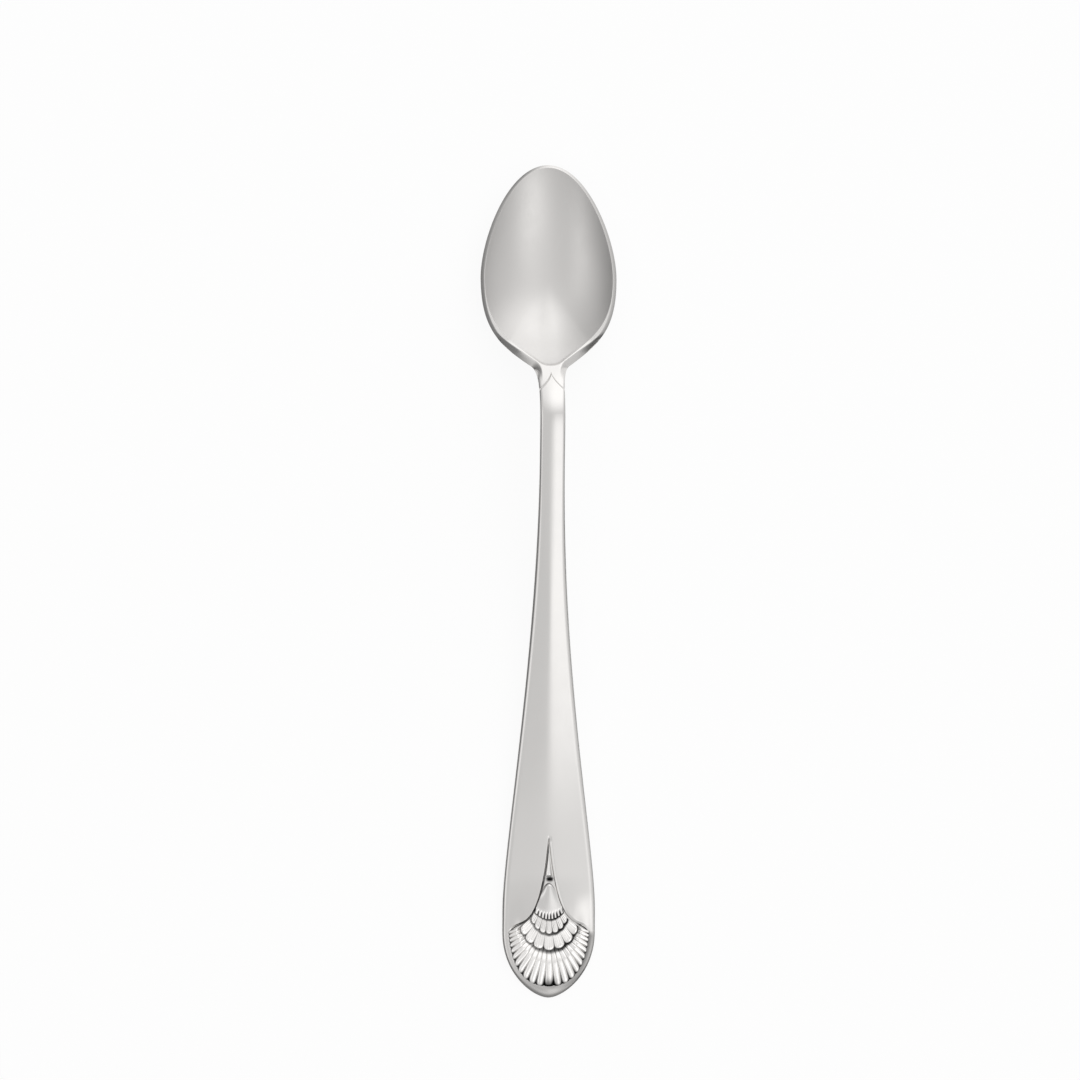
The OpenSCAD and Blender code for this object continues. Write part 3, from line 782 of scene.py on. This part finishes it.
def region(name, faces):
    """Piece made of a part of the two skins, with the normals of the whole spoon."""
    groups = clean_faces(faces)
    used = np.unique(np.concatenate([g.ravel() for g in groups]))
    compact = np.zeros(len(skins), int)
    compact[used] = np.arange(len(used))
    lists = [face for g in groups for face in compact[g].tolist()]
    obj = piece(name, skins[used], lists)
    obj.data.normals_split_custom_set_from_vertices(normals[used].tolist())
    return obj


def row_at(station):
    """Number of the row at a station between the arch and the dish."""
    return FIRST_MIDDLE + int(np.argmin(np.abs(middle_rows[:, 1] - station)))


crest_row, root_row, blade_row = row_at(CREST), row_at(ROOT), row_at(BLADE_END)

handle_end = region("handle_end", slab(0, FIRST_MIDDLE, END_LEFT, END_RIGHT))
region("handle", np.concatenate([
    slab(FIRST_ARCH, FIRST_MIDDLE, 0, SIDE - 1),
    slab(FIRST_ARCH, FIRST_MIDDLE, END_RIGHT + 1),
    slab(FIRST_MIDDLE, blade_row),
    wall(number[blade_row, ::-1]),
]))
region("stem", np.concatenate([
    slab(blade_row, crest_row),
    wall(number[blade_row]),
    wall(number[crest_row, ::-1]),
]))
region("neck", np.concatenate([
    slab(crest_row, root_row),
    wall(number[crest_row]),
    wall(number[root_row, ::-1]),
]))
bowl = region("bowl", np.concatenate([slab(root_row, LAST), wall(number[root_row])]))

# Faces count as the upper skin's where their normal points up at least this much
FACING_UP = 0.1


def give_dish_satin(obj):
    """Faces of the bowl whose middle lies inside the dish, on the upper skin, get the satin."""
    mesh = obj.data
    mesh.materials.append(SATIN)
    count = len(mesh.polygons)
    centre, normal = np.empty(count * 3), np.empty(count * 3)
    mesh.polygons.foreach_get("center", centre)
    mesh.polygons.foreach_get("normal", normal)
    centre = centre.reshape(-1, 3) / MM + np.array([0, LENGTH / 2, 0])
    r, angle = from_deepest(centre[:, 0], centre[:, 1])
    inside = (r < dish_radius(angle)) & (normal.reshape(-1, 3)[:, 2] > FACING_UP)
    mesh.polygons.foreach_set("material_index", inside.astype(np.int32))


give_dish_satin(bowl)


# Ornament: each row of it is laid between an inner and an outer curve on the end plate. Sizes
# are in millimetres, and angles in degrees from straight down the handle, at the fan's centre.

FAN_STATION = 18.4
FAN_REACH, FAN_SIDE, FAN_ANGLE = 15.8, 9.4, 71
FAN_FULLNESS = 2.45
FAN_HEIGHT, FAN_SINK, FAN_END_HEIGHT = 0.8, 0.24, 0.05
# Flutes of the fan: the middle one is wider than an even share, and the others crowd outwards
FLUTES = 23
MIDDLE_FLUTE, CROWDING = 1.36, 1.2
FLUTE_DEPTH, FLUTE_NOTCH = 0.3, 0.28
# Scallops: the lower row comes back towards its sides, and the upper row reaches out there
LOBES = 7
END_FULLNESS = 0.92
LOWER_REACH, LOWER_ANGLE, LOWER_NOTCH = 7.5, 74, 0.75
UPPER_REACH, UPPER_ANGLE, UPPER_NOTCH = 3.8, 90, 0.5
SIDE_LOSS, SIDE_REACH = 0.5, 0.5
VALLEY, SCALLOP_HEIGHT, LOBE_CROWN = 0.22, 0.85, 0.3
RIDGES, RIDGE_CUT = 4, 0.07
EDGE_ROUNDING = 0.3
# Bell: its lower edge and its top are arcs
BELL_TOP, BELL_FOOT = 26.2, 18.05
BELL_HALF_TOP, BELL_HALF_FOOT = 1.15, 3.35
BELL_TOP_ARC, BELL_FOOT_ARC = 0.9, 1.65
BELL_HEIGHT, BELL_LIFT, BELL_CROWN = 0.85, 0.2, 0.42
SLOTS, SLOT_DEPTH = 9, 0.3
# Rib in the spire
RIB_HALF_FOOT, RIB_HALF_TIP = 0.72, 0.08
RIB_HEIGHT, RIB_SINK = 0.42, 0.7
# A relief piece goes this far down into the plate
SUNK = 0.05


def polar(angle, r):
    """Place at an angle and at a distance from the fan's centre."""
    a = np.radians(angle)
    return np.stack([r * np.sin(a), FAN_STATION - r * np.cos(a)], -1)


def in_lobe(u, count):
    """Place within a lobe or flute, from -1 to 1."""
    v = (u + 1) / 2 * count
    return 2 * (v - np.floor(np.minimum(v, count - 0.001))) - 1


def notch(u, count, depth):
    """How far an edge steps back between lobes or flutes, whose ends are half rounds."""
    v = in_lobe(u, count)
    return depth * (1 - np.sqrt(np.maximum(0, 1 - v * v * END_FULLNESS)))


def fan_angle(u):
    """Angle of a flute: the flutes grow narrower towards the sides."""
    first = 1 / FLUTES
    a = np.abs(u)
    crowded = 1 - (1 - steady(a, first, 1 - first)) ** CROWDING
    share = np.where(a < first, a * MIDDLE_FLUTE, mixed(first * MIDDLE_FLUTE, 1, crowded))
    return FAN_ANGLE * np.sign(u) * share


def fan_reach(angle):
    """Outline of the fan: a fuller kind of ellipse."""
    a = np.radians(angle)
    total = (np.abs(np.sin(a)) / FAN_SIDE) ** FAN_FULLNESS + (np.cos(a) / FAN_REACH) ** FAN_FULLNESS
    return total ** (-1 / FAN_FULLNESS)


def bell_edge(u):
    """Edge between the bell and the upper scallops: an arc that hangs towards the tip."""
    return np.stack([BELL_HALF_FOOT * u, BELL_FOOT + BELL_FOOT_ARC * u * u], -1)


def upper_edge(u):
    """Ends of the upper scallops: a half circle round the fan's centre, notched between lobes."""
    return polar(UPPER_ANGLE * u, UPPER_REACH + SIDE_REACH * u**4 - notch(u, LOBES, UPPER_NOTCH))


def lower_edge(u):
    """Ends of the lower scallops: a wider and flatter arc, notched between lobes."""
    return polar(LOWER_ANGLE * u, LOWER_REACH - SIDE_LOSS * u * u - notch(u, LOBES, LOWER_NOTCH))


def fan_edge(u):
    """Ends of the flutes on the fan's outline, notched between flutes."""
    angle = fan_angle(u)
    return polar(angle, fan_reach(angle) - notch(u, FLUTES, FLUTE_NOTCH))


def quads(rows, columns):
    """Corner numbers of the quads of a grid whose columns close on themselves."""
    i, j = np.meshgrid(np.arange(rows - 1), np.arange(columns), indexing="ij")
    k = (j + 1) % columns
    return np.stack([i * columns + j, i * columns + k, (i + 1) * columns + k,
                     (i + 1) * columns + j], -1).reshape(-1, 4)


def relief(name, u, q, place, height, painted_shade):
    """Closed piece on the end plate: its top over shares q of the way out, then straight walls.

    The painted shade, from 0 to 1, says how dark each place is painted; a wall is as dark as the
    edge above it.
    """
    uu, qq = np.meshgrid(u, q, indexing="ij")
    plan = place(uu, qq)
    base = plate_height(plan[..., 1])
    top = np.concatenate([plan, (base + height(uu, qq))[..., None]], 2)
    foot = np.concatenate([plan, (base - SUNK)[..., None]], 2)
    grid = np.concatenate([top, foot[:, ::-1]], 1)
    rows, columns = grid.shape[:2]
    faces = quads(rows, columns)
    # The two ends are closed by strips between the top and the foot of the first and last rows
    j = np.arange(len(q) - 1)
    first = np.stack([j, 2 * len(q) - 1 - j, 2 * len(q) - 2 - j, j + 1], -1)[:, ::-1]
    last = (rows - 1) * columns + first[:, ::-1]
    every = np.concatenate([faces, first, last])[:, ::-1]
    points = (grid.reshape(-1, 3) - np.array([0, LENGTH / 2, 0])) * MM
    obj = piece(name, points, every.tolist(), STAMPED_PAINTED_LIGHT)
    obj.data.set_sharp_from_angle(angle=math.radians(50))
    painted_dark = painted_shade(uu, qq).clip(0, 1)
    painted_dark = np.concatenate([painted_dark, painted_dark[:, ::-1]], 1)
    layer = obj.data.attributes.new("painted_shade", "FLOAT", "POINT")
    layer.data.foreach_set("value", painted_dark.ravel().astype(np.float32))


def between(inner_edge, outer_edge):
    """Place that lies a share q of the way from one edge to another."""
    return lambda u, q: mixed(inner_edge(u), outer_edge(u), q[..., None])


# In a row of the pattern u runs from -1 on its left to 1 on its right, and q from 0 at its inner
# edge to 1 at its outer one. Each pair here is a start and a run as shares of the way outwards.
SCALLOP_OVER, SCALLOP_CURVE, OVER_FULLNESS = (0.72, 0.28), 0.8, 0.98
FLUTE_RISE, FLUTE_SINKING, FLUTE_FALL = (0, 0.4), (0.25, 0.6), (0.85, 0.15)
SLOT_CUT, SLOT_POWER, BELL_OVER = (0.78, 0.18), 2.2, (0, 0.1)
RIB_START, RIB_CURVE = (-0.02, 0.14), 1.2
# The grooves between the flutes: power and depth, at their inner and at their outer end
GROOVE_GROWTH, GROOVE_POWERS, GROOVE_CUTS = (0.35, 0.55), (5, 2.3), (0.45, 1.1)

# Painted shade is 0 where the steel keeps its own colour and 1 where it is painted near black. A
# pair named SIDES is the value on the left and on the right of the pattern, and one named FADE is a
# start and a run.
SIDE_FADE = (-0.7, 1.3)
UNDER_WIDTH_SIDES, UNDER_NOTCH, UNDER_SIDES = (0.75, 1.15), 0.6, (0.7, 1.0)
UNDER_SHARPNESS, UNDER_START = 1.7, 0.7
SCALLOP_UNDER, FAN_UNDER = 0.2, 0.13
GAP_SHADE, GAP_POWERS = 0.9, (30, 6)
END_FADE, SCALLOP_END_SIDES, LOBE_END_SHADE = (0.93, 0.07), (0.15, 0.5), 0.4
FLUTE_END_SIDES = (0.15, 0.9)
LINE_POWER, LINE_POWER_SIDES, LINE_FADE = 16, (1.6, 2.6), (0.62, 0.38)
LINE_SHADES, LINE_SHADE_FADE = (0.1, 1.15), (0.55, 0.35)
FAINT_SHADE, FAINT_FADE = 0.5, (0.75, 0.2)
MIDDLE_SHADE, MIDDLE_PLACE, MIDDLE_WIDTH, MIDDLE_FADE = 0.85, 0.01, 0.12, (0.68, 0.27)
SLOT_SHADE, SLOT_POWER_SIDES, SLOT_FADE = 1.4, (3.5, 1.8), (0.8, 0.14)
BELL_EDGE_SHADE, BELL_EDGE_FADE, BELL_SHADE, BELL_FADE = 0.8, (0, 0.04), 0.22, (0.7, 0.2)
RIB_SHADE, RIB_FADE = 0.4, (0.1, 0.3)


def rounding(over, fullness=1.0):
    """Drop of an edge that is rounded over, against the share of the way over it."""
    return EDGE_ROUNDING * (1 - np.sqrt(1 - over**2 * fullness))


def by_side(u, left, right):
    """Blend across the pattern, whose painted shade is wider and darker on the right."""
    return mixed(left, right, rising(u, *SIDE_FADE))


def painted_shade_under_lobes(u, reach):
    """Painted shade below a row of lobes: thin under their middles, and deep in the notches
    between.
    """
    width = by_side(u, *UNDER_WIDTH_SIDES) + UNDER_NOTCH * in_lobe(u, LOBES) ** 6
    return by_side(u, *UNDER_SIDES) * (1 - ease(UNDER_SHARPNESS * reach / width - UNDER_START))


def scallop_height(u, q):
    """Domed lobes on a ramp, low between the lobes, with fine flutes, rounded over at the edge."""
    v, w = in_lobe(u, LOBES), in_lobe(u, LOBES * RIDGES)
    over = steady(q, *SCALLOP_OVER)
    return (mixed(VALLEY, SCALLOP_HEIGHT, q**SCALLOP_CURVE) - LOBE_CROWN * v**2 * q
            - RIDGE_CUT * w**2 * (1 - over) - rounding(over, OVER_FULLNESS))


def scallop_painted_shade(u, q):
    """Painted shade under the row above, in the gaps between the lobes, and at the foot of their
    ends.
    """
    v = in_lobe(u, LOBES)
    gaps = GAP_SHADE * np.abs(v) ** mixed(*GAP_POWERS, q) * q
    left, right = SCALLOP_END_SIDES
    ends = by_side(u, left, right + LOBE_END_SHADE * v**4) * rising(q, *END_FADE)
    return painted_shade_under_lobes(u, q / SCALLOP_UNDER) + gaps + ends


def fan_height(u, q):
    """Flutes that rise from under the scallops and sink a little towards a rounded end.

    Their grooves grow wider and deeper outwards.
    """
    rise = mixed(VALLEY, FAN_HEIGHT, rising(q, *FLUTE_RISE)) - FAN_SINK * steady(q, *FLUTE_SINKING)
    fall = steady(q, *FLUTE_FALL) ** 2
    outwards = rising(q, *GROOVE_GROWTH)
    groove = np.abs(in_lobe(u, FLUTES)) ** mixed(*GROOVE_POWERS, outwards)
    groove = groove * mixed(*GROOVE_CUTS, outwards)
    return mixed(rise, FAN_END_HEIGHT + FLUTE_DEPTH, fall) - FLUTE_DEPTH * groove


def fan_painted_shade(u, q):
    """Painted shade under the scallops, in the grooves, at the foot of the ends and before the
    middle one.

    The grooves are fainter at the far left.
    """
    power = mixed(LINE_POWER, by_side(u, *LINE_POWER_SIDES), rising(q, *LINE_FADE))
    groove = np.abs(in_lobe(u, FLUTES)) ** power * mixed(*LINE_SHADES, rising(q, *LINE_SHADE_FADE))
    faint = 1 - FAINT_SHADE * rising(-u, *FAINT_FADE)
    ends = by_side(u, *FLUTE_END_SIDES) * rising(q, *END_FADE)
    near_middle = 1 - rising(np.abs(u - MIDDLE_PLACE), 0, MIDDLE_WIDTH)
    middle = MIDDLE_SHADE * near_middle * rising(q, *MIDDLE_FADE)
    return painted_shade_under_lobes(u, q / FAN_UNDER) + groove * faint + ends + middle


def bell_place(u, q):
    """The bell widens from its rounded top to its lower edge."""
    side = mixed(BELL_HALF_TOP, BELL_HALF_FOOT, q)
    top = BELL_TOP - BELL_TOP_ARC * u * u
    return np.stack([side * u, mixed(top, bell_edge(u)[..., 1], q)], -1)


def bell_height(u, q):
    """Rounded across at the top, level across at the lower edge, which short slots cut."""
    slot = np.abs(in_lobe(u, SLOTS)) ** SLOT_POWER * rising(q, *SLOT_CUT)
    crown = BELL_CROWN * (1 - u * u) * (1 - q * q)
    return (mixed(VALLEY + BELL_LIFT, BELL_HEIGHT, q) + crown - SLOT_DEPTH * slot
            - rounding(1 - steady(q, *BELL_OVER)))


def bell_painted_shade(u, q):
    """Painted shade at the rounded top's edge and in the slots of the lower edge, and a lighter
    painted shade between them.
    """
    slot = np.abs(in_lobe(u, SLOTS)) ** by_side(u, *SLOT_POWER_SIDES) * rising(q, *SLOT_FADE)
    top_edge = BELL_EDGE_SHADE * (1 - rising(q, *BELL_EDGE_FADE))
    return top_edge + SLOT_SHADE * slot + BELL_SHADE * (1 - rising(q, *BELL_FADE))


def rib_place(u, q):
    """The rib narrows to a point in the spire."""
    half = RIB_HALF_FOOT * (1 - q) ** RIB_CURVE + RIB_HALF_TIP
    return np.stack([half * u, mixed(RIB_FOOT, RIB_TOP, q)], -1)


def rib_height(u, q):
    """A rounded ridge that starts low and sinks towards its upper end."""
    ridge = RIB_HEIGHT * np.sqrt(np.maximum(0, 1 - u * u))
    return ridge * (1 - RIB_SINK * q) * rising(q, *RIB_START)


def rib_painted_shade(u, q):
    """Painted shade on its right side, fading towards its upper end; its left stays bright."""
    return RIB_SHADE * rising(u, *RIB_FADE) * (1 - q)


# Samples across a row, a whole number for each lobe, flute or slot, and samples outwards
lobe_samples = np.linspace(-1, 1, LOBES * 24 + 1)
flute_samples = np.linspace(-1, 1, FLUTES * 14 + 1)
to_edge = np.concatenate([np.linspace(0, 0.7, 18), 1 - 0.3 * np.linspace(1, 0, 19)[1:] ** 1.4])

relief("fan", flute_samples, to_edge, between(lower_edge, fan_edge), fan_height, fan_painted_shade)
relief("lower_scallops", lobe_samples, to_edge, between(upper_edge, lower_edge),
       scallop_height, scallop_painted_shade)
relief("upper_scallops", lobe_samples, to_edge, between(bell_edge, upper_edge),
       scallop_height, scallop_painted_shade)
relief("bell", np.linspace(-1, 1, SLOTS * 12 + 1), to_edge, bell_place, bell_height, bell_painted_shade)
relief("spire_rib", np.linspace(-1, 1, 15), np.linspace(0, 1, 25),
       rib_place, rib_height, rib_painted_shade)


# Painted shade on the plate: a FADE is a start and a run, in millimetres but for the angle's
ARCH_SHADE, RIGHT_FOOT_FADE, ARCH_FADE, ARCH_MARGIN = 0.95, (5.8, 1.5), (0.108, 0.36), 0.2
FAN_EDGE_SIDES, FAN_EDGE_FADE, FAN_ANGLE_FADE = (0, 0.66), (0.325, 1.3), (66, 8)
# The pocket of it above the bell is an oval: half sizes, place across and share of the way up
POCKET_SIZE, POCKET_X, POCKET_SHARE, POCKET_FADE = (0.85, 0.66), 0.2, 0.72, (0.63, 0.7)


def plate_painted_shade(x, s):
    """Painted shade on the plate.

    It lies by the arch's left wall and right foot, at the fan's edge, and above the bell.
    """
    side = np.where(x < 0, ARCH_SHADE, rising(x, *RIGHT_FOOT_FADE))
    in_reach = (s > ARCH_FOOT) & (np.abs(x) < ARCH_HALF_WIDTH + ARCH_MARGIN)
    arch = side * (1 - rising(distance_to(ARCH, x, s), *ARCH_FADE)) * in_reach
    away, angle = np.hypot(x, FAN_STATION - s), np.degrees(np.arctan2(x, FAN_STATION - s))
    beyond = away - fan_reach(np.minimum(np.abs(angle), FAN_ANGLE))
    edge = (by_side(angle / FAN_ANGLE, *FAN_EDGE_SIDES) * (1 - rising(beyond, *FAN_EDGE_FADE))
            * (1 - rising(np.abs(angle), *FAN_ANGLE_FADE)))
    half_x, half_s = POCKET_SIZE
    pocket_s = mixed(BELL_TOP, RIB_FOOT, POCKET_SHARE)
    pocket = 1 - rising(np.hypot((x - POCKET_X) / half_x, (s - pocket_s) / half_s), *POCKET_FADE)
    return np.maximum(np.maximum(arch, edge), pocket)


# The painted shade lies on the top, down to this depth below the plate's level
PAINTED_SHADE_DEPTH = 0.3


def paint_plate_shade(obj):
    """Gives the end plate the polished steel with painted shade by the arch, at the fan's edge and
    above the bell.
    """
    mesh = obj.data
    mesh.materials.clear()
    mesh.materials.append(PLATE_PAINTED_SHADE)
    place = np.empty(len(mesh.vertices) * 3)
    mesh.vertices.foreach_get("co", place)
    x, s, z = (place.reshape(-1, 3) / MM).T
    s = s + LENGTH / 2
    painted_dark = np.where(z > plate_height(s) - PAINTED_SHADE_DEPTH, plate_painted_shade(x, s), 0)
    layer = mesh.attributes.new("painted_shade", "FLOAT", "POINT")
    layer.data.foreach_set("value", painted_dark.astype(np.float32))


paint_plate_shade(handle_end)


# Table, light and camera


def table():
    """Plain pale table, wide enough to fill every view."""
    size = 3.0
    corners = np.array([(-size, -size, 0), (size, -size, 0), (size, size, 0), (-size, size, 0)])
    mesh = bpy.data.meshes.new("table")
    mesh.from_pydata(corners.tolist(), [], [[0, 1, 2, 3]])
    obj = bpy.data.objects.new("table", mesh)
    bpy.context.scene.collection.objects.link(obj)
    material = bpy.data.materials.new("matt_white_laminate")
    material.use_nodes = True
    tree = material.node_tree
    shader = tree.nodes["Principled BSDF"]
    shader.inputs["Base Color"].default_value = linear("fcfcfc")
    shader.inputs["Roughness"].default_value = 0.9
    # White to the camera and in reflections, with the object's shadow kept faint
    white_share = 0.9
    rays = node(tree, "ShaderNodeLightPath").outputs
    seen = node(tree, "ShaderNodeMath", {"operation": "MAXIMUM"},
                {0: rays["Is Camera Ray"], 1: rays["Is Glossy Ray"]})
    either = node(tree, "ShaderNodeMath", {"operation": "MAXIMUM"},
                  {0: seen.outputs["Value"], 1: rays["Is Transmission Ray"]})
    share = node(tree, "ShaderNodeMath", {"operation": "MULTIPLY", 1: white_share},
                 {0: either.outputs["Value"]})
    white = node(tree, "ShaderNodeEmission", {"Strength": 1.0})
    both = node(tree, "ShaderNodeMixShader", None,
                {0: share.outputs["Value"], 1: shader.outputs["BSDF"],
                 2: white.outputs["Emission"]})
    tree.links.new(both.outputs["Shader"], tree.nodes["Material Output"].inputs["Surface"])
    mesh.materials.append(material)


table()


def softbox(name, place, aim, width, height, power):
    """Lamp outside the tent, at a place in metres, turned to aim at a point.

    The tent's cloth hides it, so it gives the table its shadow and no reflection of its own.
    """
    lamp = bpy.data.lights.new(name, "AREA")
    lamp.shape = "RECTANGLE"
    lamp.size = width
    lamp.size_y = height
    lamp.energy = power
    obj = bpy.data.objects.new(name, lamp)
    obj.location = place
    obj.visible_glossy = False
    obj.rotation_euler = (Vector(aim) - Vector(place)).to_track_quat("-Z", "Y").to_euler()
    bpy.context.scene.collection.objects.link(obj)


softbox("key", place=(0.5, 0.85, 0.75), aim=(0, 0.03, 0), width=1.0, height=1.0, power=0.9)

# The tent on the sky's disc, where 0 is straight up and 1 is the horizon. The wall darkens
# outwards from a centre a little off the middle, and a ring at the horizon darkens once more.
TENT_CENTRE = (0.08, 0.12, 0)
WALL = {"start": 0.85, "end": 1.01, "low": 0.755, "high": 0.25}
RING = {"start": 0.965, "end": 1.0, "low": 0.0, "high": -0.18}
# Glows on the cloth: a middle, two half sizes and a strength
GLOWS = [
    ((0.3, 0.75), (0.8, 0.88), 0.65),
    ((0.36, -0.33), (0.44, 0.48), 0.56),
    ((-0.54, -0.05), (0.2, 0.6), 0.4),
]
GLOW_CORE = 0.15


def studio_light():
    """Light of a white tent round the table, as seen in each direction.

    It is bright overhead and falls off towards the horizon. The strongest glow at a place on
    the cloth is added to it; a glow is an ellipse that fades from its core to its edge.
    """
    world = bpy.data.worlds.new("studio_tent")
    bpy.context.scene.world = world
    world.use_nodes = True
    tree = world.node_tree

    def vector(operation, first, second=None):
        """Sum with a vector on a socket and, for some, with a fixed one; gives its sockets."""
        settings = {"operation": operation}
        if second is not None:
            settings[1] = second
        return node(tree, "ShaderNodeVectorMath", settings, {0: first}).outputs

    def ramp(value, start, end, low, high):
        """Passes smoothly from low to high as the value goes from start to end."""
        return node(tree, "ShaderNodeMapRange",
                    {"interpolation_type": "SMOOTHSTEP", "From Min": start, "From Max": end,
                     "To Min": low, "To Max": high}, {"Value": value}).outputs["Result"]

    def joined(operation, first, second):
        """Two levels added, or the higher of the two."""
        return node(tree, "ShaderNodeMath", {"operation": operation},
                    {0: first, 1: second}).outputs["Value"]

    def glow(middle, half_sizes, strength):
        """Soft ellipse of light round a middle."""
        shifted = vector("SUBTRACT", flat, (*middle, 0))["Vector"]
        away = vector("LENGTH", vector("DIVIDE", shifted, (*half_sizes, 1))["Vector"])["Value"]
        return ramp(away, 1.0, GLOW_CORE, 0.0, strength)

    direction = node(tree, "ShaderNodeTexCoord").outputs["Generated"]
    flat = vector("MULTIPLY", direction, (1, 1, 0))["Vector"]
    from_centre = vector("LENGTH", vector("SUBTRACT", flat, TENT_CENTRE)["Vector"])["Value"]
    from_middle = vector("LENGTH", flat)["Value"]
    level = joined("ADD", ramp(from_centre, **WALL), ramp(from_middle, **RING))
    light = glow(*GLOWS[0])
    for settings in GLOWS[1:]:
        light = joined("MAXIMUM", light, glow(*settings))
    level = joined("ADD", level, light)
    background = tree.nodes["Background"]
    tree.links.new(level, background.inputs["Strength"])
    background.inputs["Color"].default_value = (1, 1, 1, 1)


studio_light()

# The photograph looks down from about five degrees to the left, from far away. The side of its
# frame and the place in its middle are in millimetres, and the distance is in metres.
VIEW_TILT = math.radians(5.39)
VIEW_ROLL = math.radians(-0.156)
VIEW_DISTANCE = 1.6
FRAME_SIDE = 246.0
PHOTO_MIDDLE = (-2.15, 9.58, 6.0)
LENS = 100.0


def camera():
    """Long lens above the table; the frame is as wide at the spoon as the photograph's."""
    data = bpy.data.cameras.new("camera")
    data.lens = LENS
    data.sensor_fit = "HORIZONTAL"
    data.sensor_width = LENS * FRAME_SIDE * MM / VIEW_DISTANCE
    data.clip_end = 20
    obj = bpy.data.objects.new("camera", data)
    target = Vector(PHOTO_MIDDLE) * MM
    obj.location = target + Vector((-math.sin(VIEW_TILT), 0, math.cos(VIEW_TILT))) * VIEW_DISTANCE
    turn = Matrix.Rotation(-VIEW_TILT, 3, "Y") @ Matrix.Rotation(VIEW_ROLL, 3, "Z")
    obj.rotation_euler = turn.to_euler()
    bpy.context.scene.collection.objects.link(obj)
    bpy.context.scene.camera = obj


camera()
bpy.context.scene.view_settings.view_transform = "Standard"
